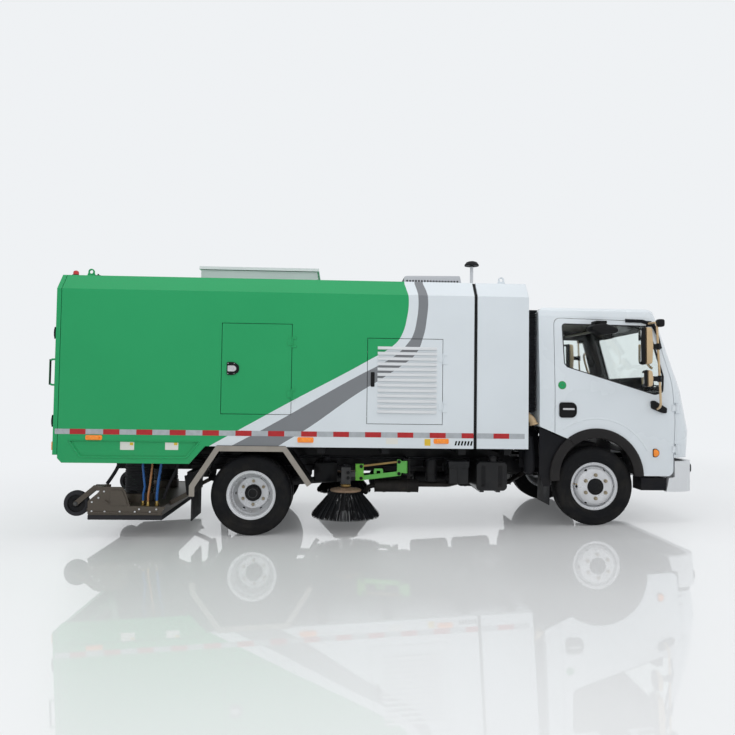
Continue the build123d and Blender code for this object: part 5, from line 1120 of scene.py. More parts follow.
@dataclass
class Chassis:
    """Frame, tanks, air intake and other gear under the body."""

    snorkel: tuple[float, float, float, float] = (2628, 2738, 1190, 2196)
    silencer: tuple[float, float] = (-700, 445)

    def intake(self) -> None:
        """Ribbed air intake behind the cab with its plated elbow, resonator and canister."""
        rear, front, low, high = self.snorkel
        solid = Solid()
        solid.block((rear + 14, front - 14), (-880, -762), (low, high), 12)
        ribs = int((high - low - 40) / 24)
        for index in range(ribs):
            z = low + 20 + index * 24
            solid.block((rear + 4, front - 4), (-890, -752), (z, z + 11), 5)
        solid.block((rear, front), (-896, -748), (high - 26, high), 8)
        solid.piece("intake_snorkel", PLASTIC, "chassis", replaces=["air_intake"])
        solid.rod([(2612, -800, 1150), (2640, -850, 1158), (2672, -892, 1140), (2694, -914, 1106),
            (2702, -922, 1072)], 36)
        for at, axis in (((2650, -864, 1156), (0.6, -0.8, -0.1)), ((2702, -922, 1076), (0.2, -0.2, -1))):
            solid.spin([(34, -7), (43, -7), (43, 7), (34, 7)], at, axis, steps=32)
        solid.piece("intake_elbow", BEIGE, "chassis", smooth=50)
        solid.spin([(0, 372), (26, 370), (36, 360), (38, 340), (42, 300), (52, 220), (58, 130), (57, 60),
            (50, 20), (36, 4), (0, 0)], (2668, -880, 590), UP, steps=36)
        solid.plate([(2604, 640, 10), (2800, 640, 10), (2800, 985, 10), (2752, 1040, 10), (2752, 1092, 20),
            (2604, 1100, 10)], -742, -730, edge=3)
        for z in (720, 860, 1000):
            solid.block((2612, 2740), (-748, -740), (z - 8, z + 8), 3)
        solid.piece("intake_resonator", PLASTIC, "chassis", smooth=60)
        solid.spin([(0, 0), (48, 0), (56, 6), (58, 14), (58, 60), (61, 62), (61, 70), (58, 72), (58, 198),
            (54, 209), (44, 215), (0, 215)], (1720, -800, 504), UP, steps=40)
        solid.block((1690, 1750), (-760, -376), (610, 670), 4)
        for z in (1500, 1900):
            solid.block((2606, 2646), (-830, -790), (z - 20, z + 20), 3)
        solid.block((2643, 2693), (-840, -376), (665, 695), 3)
        solid.piece("intake_canister", CHASSIS, "chassis")

    def tank(self) -> None:
        """Straps and cap of the fuel tank, and the battery box's lid and strap."""
        solid = Solid()
        for x in (2205, 2369):
            solid.block((x - 20, x + 20), (-952.5, -950), (470, 672), 0.8)
            solid.block((x - 20, x + 20), (-910, -600), (710, 712.5), 0.8)
            solid.block((x - 20, x + 20), (-910, -600), (429.5, 432), 0.8)
            solid.rod([(x, -600, 711), (x, -915, 711), (x, -948, 690), (x, -951, 660)], 3)
            solid.bolt((x, -952, 480), 9, 14)
        solid.piece("tank_straps", CHASSIS, "chassis")
        solid.spin([(41, 0), (44, 0), (44, 22), (38, 30), (16, 32), (0, 32), (0, 4)], (2310, -880, 742), UP,
            steps=32)
        solid.piece("tank_cap", GRIP, "chassis")
        solid.block((1866, 2068), (-956, -614), (650, 712), 8)
        solid.block((1955, 1979), (-958.5, -954), (500, 700), 1)
        solid.block((1892, 1922), (-960, -950), (636, 676), 3)
        solid.block((2012, 2042), (-960, -950), (636, 676), 3)
        solid.piece("battery_lid", TANK, "chassis")

    def exhaust(self) -> None:
        """Seams, clamps and end caps of the silencer."""
        solid = Solid()
        for x in (1173, 1597):
            solid.spin([(50, -4), (66, -4), (67, 0), (66, 4), (50, 4)], (x, *self.silencer),
                (1, 0, 0), steps=40)
        for x in (1263, 1507):
            solid.spin([(64, -14), (67, -14), (67, 14), (64, 14)], (x, *self.silencer), (1, 0, 0), steps=40)
        solid.rod([(1180, -700, 445), (1120, -700, 440), (1090, -720, 410), (1075, -760, 380)], 24)
        solid.piece("exhaust_tail", STEEL, "chassis", smooth=50)

    def lines(self) -> None:
        """Pipes, valves and wiring along the frame rail."""
        solid = Solid()
        for z, y, radius in ((700, -392, 7), (682, -390, 5), (604, -389, 6)):
            solid.rod([(-1300, y, z), (-400, y, z - 4), (600, y, z), (1500, y, z - 6), (2500, y, z)], radius)
        for x in (-220, 640, 1890):
            solid.block((x, x + 90), (-470, -376), (560, 640), 10)
            solid.spin([(0, 0), (36, 0), (40, 10), (40, 60), (32, 70), (0, 70)], (x + 45, -430, 636), UP,
                steps=28)
        solid.piece("rail_lines", RUBBER, "chassis")
        for z in (560, 580):
            solid.rod([(-1500, -360, 640), (-1300, -500, z + 120), (-1000, -560, z + 140),
                (-700, -560, z + 100), (-560, -400, z + 60)], 12)
        solid.rod([(-1290, -700, 800), (-1320, -720, 640), (-1380, -740, 520), (-1430, -750, 445)], 17)
        solid.rod([(-700, -720, 820), (-760, -730, 600), (-860, -700, 420), (-900, -690, 300)], 15)
        solid.piece("tail_lines", RUBBER, "chassis")
        for x, y in ((1130, -235), (1600, -235), (2070, -235), (1600, 235), (2070, 235)):
            solid.spin([(0, 0), (40, 4), (68, 16), (78, 36), (78, 394), (68, 414), (40, 426), (0, 430)],
                (x, y, 462), (1, 0, 0), steps=36)
            for offset in (90, 340):
                solid.spin([(77, -12), (80.5, -12), (80.5, 12), (77, 12)], (x + offset, y, 462), (1, 0, 0),
                    steps=36)
                solid.block((x + offset - 12, x + offset + 12), (y - 27, y + 27), (530, 640), 3)
        for side in Side:
            solid.block((560, 800), sorted((side.value * 520, side.value * 335)), (450, 650), 14, 3)
            solid.spin([(0, 0), (30, 0), (32, 6), (32, 16), (26, 22), (0, 24)], (620, side.value * 430, 648),
                UP, steps=28)
        for y, z in ((-300, 610), (-330, 585), (-320, 560)):
            solid.rod([(700, y, z), (1400, y - 6, z - 8), (2100, y, z), (2600, y + 10, z + 4)], 10)
        solid.piece("air_reservoirs", CHASSIS, "chassis")

    def build(self) -> None:
        """Everything under the body."""
        dress(CHASSIS, "frame_rails", "crossmembers", "leaf_springs")
        dress(CAST, "engines")
        dress(TANK, "fuel_tank", "battery_box")
        dress(STEEL, "exhaust")
        dress(FENDER, "rear_fenders")
        dress(PLASTIC, "mudguards")
        dress(WHITE, "bumper")
        self.intake()
        self.tank()
        self.exhaust()
        self.lines()


# cab


@dataclass
class CabOutside:
    """Flares, seals, handles, lamps, wipers and front end of the tilting cab."""

    arch: tuple[float, float] = (3304.0, 583.0)
    flare_split: float = 127.0
    window: tuple[tuple[float, float, float], ...] = ((2972, 2067, 35), (3835, 2058, 45), (3893, 1865, 200),
        (3975, 1560, 100), (3962, 1400, 40), (3880, 1375, 60), (3018, 1635, 30), (2988, 1670, 25))
    screen: tuple[tuple[float, float, float], ...] = ((-862, 1440, 60), (-800, 2070, 60), (800, 2070, 60),
        (862, 1440, 60))
    handle: tuple[float, float, float, float] = (2935, 3105, 1146, 1294)
    bumper_front: float = 4316.0
    bumper_half: float = 968.0
    bumper_corner: float = 230.0

    def flares(self, side: Side) -> None:
        """Wheel-arch flare, front part on the door and rear part on the mudguard, and the crease above."""
        section = [(463, 20.3), (462, 28), (456, 36), (444, 41), (420, 44), (394, 43), (376, 40), (368, 34),
            (366, 26), (366, 1), (370, 1), (371, 28), (378, 35), (400, 38), (428, 37), (444, 31), (447, 20.3)]
        centre = (self.arch[0], -952.0, self.arch[1])
        for name, body, start, end in (("arch_flare_door", DOOR, 1.0, self.flare_split),
                ("arch_flare_rear", "chassis", self.flare_split + 0.6, 186.0)):
            solid = Solid()
            solid.spin(section, centre, steps=48, start=start, sweep=end - start)
            if body == "chassis":
                solid.spin([(447, -6), (447, 30), (441, 30), (441, -6)], centre, steps=24, start=start + 2,
                    sweep=end - start - 3)
            solid.piece(name, FLARE, body, side, smooth=50)
        solid.spin([(546, -2), (552, 2.6), (556, 3.4), (560, 3.2), (577, -2)],
            (self.arch[0], -972.0, self.arch[1]), steps=60, start=27, sweep=99)
        solid.piece("door_crease", CAB, DOOR, side, smooth=70)

    def seals(self, side: Side) -> None:
        """Rubber round the side window, inside and outside the frame."""
        solid = Solid()
        verts = ring(solid, self.window, 13, -3, 2.5)
        verts = [*verts, *ring(solid, self.window, -9, -22, 0.5)]
        solid.shift(verts, on_cab_side)
        solid.piece("window_seal", RUBBER, DOOR, side)
        strip = [(3606, 2121), (3606, 2088), (3760, 2086), (3868, 2062), (3915, 1960), (3948, 1830),
            (3962, 1836), (3934, 1968), (3896, 2083), (3780, 2116)]
        solid.shift(solid.plate(strip, -1, 14, edge=2), on_cab_side)
        solid.piece("rain_strip", PLASTIC, DOOR, side)

    def fittings(self, side: Side) -> None:
        """Door handle with its lever and plated trim, blank disc and turn lamp."""
        rear, front, low, high = self.handle
        solid = Solid()
        outline = [(rear, low, 26), (front, low, 54), (front, high, 54), (rear, high, 26)]
        verts = [*solid.plate(outline, -2, 7, edge=3), *ring(solid, outline, -10, 6, 11)]
        solid.shift(verts, on_cab_side)
        solid.piece("door_handle_dish", GRIP, DOOR, side)
        middle = (low + high) / 2
        verts = solid.plate(rect(rear + 28, front - 22, middle - 4, middle + 22, 8), 9, 20, edge=4)
        verts = [*verts, *solid.plate(rect(rear + 30, front - 40, middle + 24, middle + 30, 2), 6, 12)]
        solid.shift(verts, on_cab_side)
        solid.piece("door_handle_lever", GRIP, DOOR, side)
        solid.shift(solid.plate(rect(rear + 30, front - 26, middle + 1, middle + 19, 4), 19, 22, edge=1),
            on_cab_side)
        solid.piece("door_handle_trim", BRIGHT, DOOR, side)
        solid.shift(solid.spin([(0, 3), (38, 3), (40, 1.5), (40, -2), (0, -2)], (2965, 0, 1460), (0, 1, 0),
            steps=40), on_cab_side)
        solid.piece("blank_disc", DISC, DOOR, side)
        solid.shift(solid.spin([(12, 4.2), (29, 4.2), (30, 2.8), (11, 2.8)], (2965, 0, 1460), (0, 1, 0),
            steps=40), on_cab_side)
        solid.piece("blank_disc_ring", GREEN, DOOR, side)
        solid.shift(solid.plate([(3862, 778, 16), (3890, 778, 20), (3916, 800, 24), (3916, 826, 24),
            (3890, 850, 20), (3862, 850, 16)], -2, 15, edge=6), on_cab_side)
        solid.piece("turn_lamp", AMBER, DOOR, side)
        solid.shift(solid.plate([(3856, 772, 18), (3896, 772, 22), (3922, 798, 26), (3922, 830, 26),
            (3896, 856, 20), (3856, 856, 18)], -2, 3, edge=1), on_cab_side)
        solid.piece("turn_lamp_base", GRIP, DOOR, side)

    def nose_y(self, y: float, depth: float = 0.0) -> float:
        """How far forward the bumper reaches at a distance off the middle."""
        into = max(0.0, abs(y) - (self.bumper_half - self.bumper_corner))
        return self.bumper_front - self.bumper_corner + math.sqrt(self.bumper_corner ** 2 - min(into,
            229.0) ** 2) + depth

    def on_bumper(self, point: Vector) -> Vector:
        """Place whose X is a height above the bumper's front, carried onto that front."""
        return Vector((self.nose_y(point.y, point.x), point.y, point.z))

    def front(self) -> None:
        """Screen rubber, wipers, grille, badge-free band, lower grille, bumper intake and blank plate."""
        solid = Solid()
        verts = [*ring(solid, self.screen, 16, -4, 3, Across.X), *ring(solid, self.screen, -26, -13, 0.5,
            Across.X)]
        solid.shift(verts, on_cab_nose)
        solid.piece("screen_rubber", RUBBER, "cab")
        for pivot, tip in ((-560, -40), (60, 560)):
            arm = [(pivot, 1418), ((pivot * 2 + tip) / 3, 1452), ((pivot + tip) / 2, 1478)]
            solid.rod([(cab_nose(y, z) + 22, y, z) for y, z in arm], 6)
            blade = [(pivot + 20, 1470), ((pivot + tip) / 2, 1482), (tip, 1494)]
            solid.rod([(cab_nose(y, z) + 8, y, z) for y, z in blade], 7)
            solid.spin([(0, 30), (16, 30), (18, 24), (18, 0), (0, 0)], (cab_nose(pivot, 1418) - 4, pivot,
                1418), (1, 0, 0), steps=20)
        solid.piece("wipers", GRIP, "cab")
        band = [(-700, 1150, 40), (700, 1150, 40), (660, 1300, 40), (-660, 1300, 40)]
        solid.shift(ring(solid, band, 10, -2, 4, Across.X), on_cab_nose)
        for index in range(5):
            z = 1168 + index * 27
            solid.shift(self.bar(solid, 640 - index * 6, z, 11, -2, 9), on_cab_nose)
        solid.piece("grille", PLASTIC, "cab", smooth=50)
        solid.shift(self.bar(solid, 700, 960, 70, -2, 1.2), on_cab_nose)
        solid.piece("front_band", GRIP, "cab")
        for z in (880, 925, 970, 1015):
            solid.shift(self.bar(solid, 520, z, 13, 1, 9), on_cab_nose)
        solid.piece("lower_grille", BRIGHT, "cab", smooth=50)
        solid.shift(self.bar(solid, 560, 515, 46, -3, 3), self.on_bumper)
        solid.shift([*solid.plate(rect(-640, -600, 478, 552, 12), -3, 3, Across.X),
            *solid.plate(rect(600, 640, 478, 552, 12), -3, 3, Across.X)], self.on_bumper)
        solid.piece("bumper_intake", PLASTIC, "chassis")
        solid.shift(solid.plate(rect(-240, 240, 590, 700, 6), -1, 4, Across.X, edge=1), self.on_bumper)
        solid.piece("blank_front_plate", LABEL, "chassis")

    def bar(self, solid: Solid, half: float, z: float, height: float, near: float, far: float) -> Verts:
        """Level strip across the front, divided so that it can follow a curve."""
        return solid.plate(rect(-half, half, z - height, z + height), near, far, Across.X,
            slices=(1, range(-900, 901, 30)))

    def lamps(self, side: Side) -> None:
        """Head lamp and fog lamp of one side, set in the bumper."""
        outline = [(-860, 612, 34), (-600, 600, 24), (-560, 640, 24), (-580, 706, 24), (-850, 712, 40)]
        base, bowl, lens = Solid(), Solid(), Solid()
        for solid, near, far, inset in ((base, -1, 2.5, 0), (lens, 2, 12, 10)):
            shape = [(y + (inset if y < -700 else -inset), z + (inset if z < 650 else -inset), r) for y, z,
                r in outline]
            solid.shift(solid.plate(shape, near, far, Across.X, edge=2 if inset else 0,
                slices=(1, range(-880, -560, 16))), self.on_bumper)
        for y, radius in ((-790, 34), (-680, 38)):
            x = self.nose_y(y) + 1
            bowl.spin([(0, 4), (radius * 0.5, 4.5), (radius, 8.5), (radius + 3, 8.5), (radius + 3, 1),
                (0, 1)], (x, y, 657), (1, 0, 0), steps=36)
        base.piece("head_lamp_base", GRIP, "chassis", side)
        bowl.piece("head_lamp_bowl", CHROME, "chassis", side)
        lens.piece("head_lamp_lens", CLEAR, "chassis", side)
        solid = Solid()
        solid.spin([(0, 6), (30, 6), (36, 3), (38, 0), (38, -3), (0, -3)], (self.nose_y(-760), -760, 520),
            (1, 0, 0), steps=36)
        solid.piece("fog_lamp", CHROME, "chassis", side)

    def roof_lamps(self, side: Side) -> None:
        """Small dark marker lamp on the cab's roof."""
        solid = Solid()
        solid.spin([(30, -6), (30, 6), (24, 16), (12, 21), (0, 22), (0, -6)], (3880, -620, 2222), UP,
            steps=28)
        solid.piece("cab_roof_lamp", GRIP, "cab", side)

    def build(self) -> None:
        """The cab's outside."""
        dress(CAB, "cab_shell", "front_panel", DOOR)
        dress(GLASS, "windscreen", "door_glass_{}")
        self.front()
        for side in Side:
            for make in (self.flares, self.seals, self.fittings, self.lamps, self.roof_lamps):
                make(side)


@dataclass
class Mirrors:
    """Mirror heads, their tubular arms and brackets."""

    main: tuple[float, ...] = (3672, 3784, 1662, 2020, 1075, 1215)
    wide: tuple[float, ...] = (3700, 3786, 1450, 1614, 1080, 1210)
    kerb: tuple[float, ...] = (3172, 3440, 1945, 2045, 1010, 1180)
    arm_y: float = 1095.0
    toe: float = -13.0
    route: tuple[Point3, ...] = ((3836, 905, 2078), (3842, 1060, 2080), (3844, 1095, 2060),
        (3850, 1095, 1900), (3866, 1095, 1600), (3878, 1095, 1330), (3882, 1092, 1270), (3890, 1010, 1240),
        (3900, 940, 1235))


    def head(self, black: Solid, shell: Solid, glass: Solid, size: Sequence[float]) -> None:
        """One mirror: black frame behind, pale shell in front and its glass facing back."""
        rear, front, low, high, inner, outer = size
        split, pivot = rear + (front - rear) * 0.4, (front, -self.arm_y, 0)
        black.turn(black.plate([(rear + 4, low + 12, 16), (split, low, 6), (split, high, 6),
            (rear + 8, high - 6, 18), (rear, high - (high - low) * 0.3, 60)], -inner, -outer, edge=9), pivot,
            UP, self.toe)
        shell.turn(shell.plate([(split - 4, low + 4, 4), (front - 8, low + 8, 22), (front, (low + high) / 2,
            90), (front - 10, high - 6, 24), (split - 4, high - 4, 4)], -inner - 4, -outer + 4, edge=12),
            pivot, UP, self.toe)
        glass.turn(glass.plate(rect(-inner - 12, -outer + 12, low + 26, high - 30, 20), rear + 9, rear - 0.5,
            Across.X), pivot, UP, self.toe)

    def build(self) -> None:
        """Both sides' mirrors."""
        for side in Side:
            black, shell, glass = Solid(), Solid(), Solid()
            for size, arm_x in ((self.main, 3854), (self.wide, 3868)):
                self.head(black, shell, glass, size)
                middle = (size[2] + size[3]) / 2
                black.block((size[1] - 16, arm_x), (-self.arm_y - 13, -self.arm_y + 13),
                    (middle - 24, middle + 24), 5)
                black.spin([(12, -30), (19, -30), (19, 30), (12, 30)], (arm_x, -self.arm_y, middle), UP,
                    steps=24)
            rear, front, low, high, inner, outer = self.kerb
            black.plate([(rear, high - 26, 14), (rear + 50, high - 6, 30), (rear + 150, high, 30),
                (front - 8, high - 40, 24), (front, low + 26, 12), (front - 40, low + 10, 20),
                (rear + 110, low, 40), (rear + 20, low + 40, 20)], -inner, -outer, edge=14)
            black.block((rear + 95, rear + 205), (-inner - 40, -905), (high + 14, high + 42), 7)
            black.block((rear + 130, rear + 180), (-inner - 60, -inner - 10), (high - 20, high + 30), 5)
            black.plate([(3832, 1318, 14), (3868, 1322, 12), (3990, 1250, 16), (3986, 1200, 14),
                (3940, 1204, 20), (3838, 1246, 16)], -968, -1000, edge=6)
            black.block((3815, 3870), (-935, -895), (2050, 2104), 8)
            black.block((3836, 3906), (-1140, -1065), (2030, 2104), 20, 4)
            solid = Solid()
            solid.rod([(x, -y, z) for x, y, z in self.route], 11, sides=4)
            # The arm is painted beige all over, the colour of the highlights on its dark steel tube: a painted
            # highlight.
            solid.piece("mirror_arm", BEIGE, DOOR, side, smooth=60)
            black.piece("mirror_frames", GRIP, DOOR, side, smooth=50, replaces=["mirrors_{}"])
            shell.piece("mirror_shells", BEIGE, DOOR, side, smooth=50)
            glass.piece("mirror_glass", MIRROR, DOOR, side)


@dataclass
class CabInside:
    """Soft seats, dashboard, steering wheel and the small things seen through the glass."""

    seats: tuple[tuple[str, float, float], ...] = (("passenger", -830.0, -70.0), ("driver", 170.0, 700.0))
    cushion: tuple[tuple[float, float, float], ...] = ((3078, 1112, 20), (3462, 1112, 24), (3474, 1190, 34),
        (3440, 1202, 30), (3090, 1184, 24))
    back: tuple[tuple[float, float, float], ...] = ((2958, 1190, 20), (3048, 1206, 24), (2934, 1622, 32),
        (2846, 1616, 32), (2872, 1500, 60))
    voxel: float = 0.009
    frames: int = 20
    pressure: float = 4.0
    most: float = 0.011

    def soften(self, pad: bpy.types.Object, seams: Sequence[tuple[Vector, Vector]]) -> None:
        """Swell a block into a stuffed pad, then sink its sewn channels.

        Args:
            pad: The block, in its place.
            seams: A point and a direction across each channel.
        """
        remesh = pad.modifiers.new("even", "REMESH")
        remesh.mode, remesh.voxel_size = "VOXEL", self.voxel
        self.apply(pad)
        still = [v.co.copy() for v in pad.data.vertices]
        cloth = pad.modifiers.new("swell", "CLOTH")
        cloth.settings.quality = 4
        cloth.settings.use_pressure = True
        cloth.settings.uniform_pressure_force = self.pressure
        cloth.settings.effector_weights.gravity = 0
        cloth.point_cache.frame_start, cloth.point_cache.frame_end = 1, self.frames
        for number in range(1, self.frames + 1):
            bpy.context.scene.frame_set(number)
        self.apply(pad)
        bpy.context.scene.frame_set(1)
        for vert, start in zip(pad.data.vertices, still):
            step = vert.co - start
            if step.length > self.most:
                vert.co = start + step.normalized() * self.most
        for vert in pad.data.vertices:
            for point, across in seams:
                near = abs((vert.co - point).dot(across)) / 0.016
                if near < 1:
                    vert.co -= vert.normal * 0.007 * (1 - near ** 2) ** 2
        pad.data.shade_smooth()
        rounder = pad.modifiers.new("round", "SUBSURF")
        rounder.levels = rounder.render_levels = 1

    def apply(self, pad: bpy.types.Object) -> None:
        """Replace a pad's mesh by what its modifiers make of it."""
        finish = pad.data.materials[0]
        mesh = bpy.data.meshes.new_from_object(pad.evaluated_get(bpy.context.evaluated_depsgraph_get()))
        pad.modifiers.clear()
        pad.data = mesh
        mesh.materials.clear()
        mesh.materials.append(finish)

    def seat(self, name: str, right: float, left: float) -> None:
        """One seat: hard base, stuffed cushion and back, and its head rests."""
        solid = Solid()
        solid.plate([(2994, 1068.6, 6), (3462, 1068.6, 6), (3466, 1112, 12), (3060, 1116, 8),
            (2990, 1180, 8)], right + 8, left - 8, edge=6)
        solid.piece(f"seat_base_{name}", TRIM, "cab")
        across = SEAT.to_3x3() @ Vector((1, 0, 0))
        for part, outline in (("cushion", self.cushion), ("back", self.back)):
            solid.plate(outline, right + 14, left - 14, edge=18)
            pad = solid.piece(f"seat_{part}_{name}", CLOTH, "cab", replaces=["seats"])
            seams = [(TO_FRAME @ Vector((0, y, 0)), Vector((0, 1, 0))) for y in ((right + left) / 2,
                right + 90, left - 90)]
            x, z = (3270, 1190) if part == "cushion" else (2930, 1420)
            line = across if part == "cushion" else (SEAT.to_3x3() @ Vector((0.26, 0, -0.97))).normalized()
            seams.append((TO_FRAME @ Vector((x, 0, z)), line))
            self.soften(pad, seams)
        count = 2 if left - right > 600 else 1
        posts = Solid()
        for index in range(count):
            y = right + (left - right) * (2 * index + 1) / (2 * count)
            for offset in (-60, 60):
                posts.rod([(2892, y + offset, 1600), (2886, y + offset, 1650), (2878, y + offset, 1700)], 6,
                    smooth=False)
            posts.block((2836, 2918), (y - 118, y + 118), (1672, 1796), 34, 5)
        posts.piece(f"head_rest_{name}", GRIP, "cab")

    def dashboard(self) -> None:
        """Dashboard details: instrument hood, vents, blank screen, knobs, gear lever and glove box lid."""
        dress(TRIM, "dashboard")
        solid = Solid()
        hood = [(3812, 1392, 10), (3822, 1484, 26), (3890, 1528, 40), (3990, 1500, 40), (4005, 1400, 8)]
        solid.plate(hood, 250, 650, edge=16)
        solid.plate([(3834, 1440), (3842, 1524, 26), (3900, 1560, 30), (3962, 1560, 16), (3972, 1500, 10),
            (3972, 1440)], -760, 240, edge=10)
        solid.block((3810, 3822), (-60, 180), (1300, 1450), 8)
        solid.plate([(3824, 1290, 8), (3818, 1380, 8), (3870, 1400, 8), (3878, 1290, 8)], -820, -300, edge=6)
        solid.piece("dashboard_hood", TRIM, "cab", smooth=50)
        for y in (-780, -340, -130, 260, 790):
            solid.block((3826, 3846), (y - 55, y + 55), (1340, 1392), 6)
            for index in range(4):
                solid.block((3822, 3828), (y - 48, y + 48), (1347 + index * 11, 1351 + index * 11), 1)
        for y in (-30, 50, 130):
            solid.spin([(0, 18), (16, 18), (19, 12), (19, 0), (0, 0)], (3812, y, 1330), (-1, 0, 0), steps=24)
        solid.rod([(3700, 40, 830), (3705, 40, 1050), (3690, 40, 1290)], 9)
        solid.spin([(0, 40), (16, 38), (25, 24), (24, 6), (10, -14), (0, -14)], (3690, 40, 1290), UP,
            steps=24)
        solid.piece("dashboard_controls", GRIP, "cab", smooth=50)
        solid.block((3806, 3811), (-45, 165), (1366, 1440), 3)
        solid.piece("blank_screen", TANK, "cab")

    def small_things(self) -> None:
        """Interior mirror, sun visors, pillar grab handles, headlining, rear wall lining and horn pad."""
        solid = Solid()
        solid.rod([(3860, 0, 2120), (3820, 0, 2080), (3800, 0, 2050)], 9)
        solid.block((3780, 3806), (-120, 120), (1995, 2062), 12, 4)
        solid.piece("inside_mirror", GRIP, "cab")
        for low, high in ((-760, -260), (260, 760)):
            verts = solid.block((3560, 3790), (low, high), (2108, 2126), 8, 3)
            solid.turn(verts, (3790, 0, 2117), (0, 1, 0), -9)
        solid.piece("sun_visors", LINING, "cab", smooth=50)
        solid.block((2800, 3800), (-820, 820), (2156, 2164), 3)
        solid.block((2796, 2803), (-900, 900), (1180, 2150), 3)
        solid.piece("headlining", LINING, "cab")
        for side in Side:
            y = side.value
            solid.rod([(3842, y * 846, 1880), (3812, y * 822, 1872), (3838, y * 826, 1760),
                (3880, y * 848, 1650), (3902, y * 868, 1640)], 12, sides=4)
        solid.piece("pillar_grips", BEIGE, "cab", smooth=60)
        axis = Vector((math.sin(math.radians(40)), 0, -math.cos(math.radians(40))))
        solid.spin([(0, -26), (34, -24), (52, -16), (58, -4), (58, 6), (0, 6)], (3775, 450, 1480),
            tuple(axis), steps=36)
        solid.piece("horn_pad", GRIP, "steering_wheel", smooth=50)

    def build(self) -> None:
        """The cab's inside."""
        dress(GRIP, "steering_wheel")
        for name, right, left in self.seats:
            self.seat(name, right, left)
        self.dashboard()
        self.small_things()


# sweeping gear


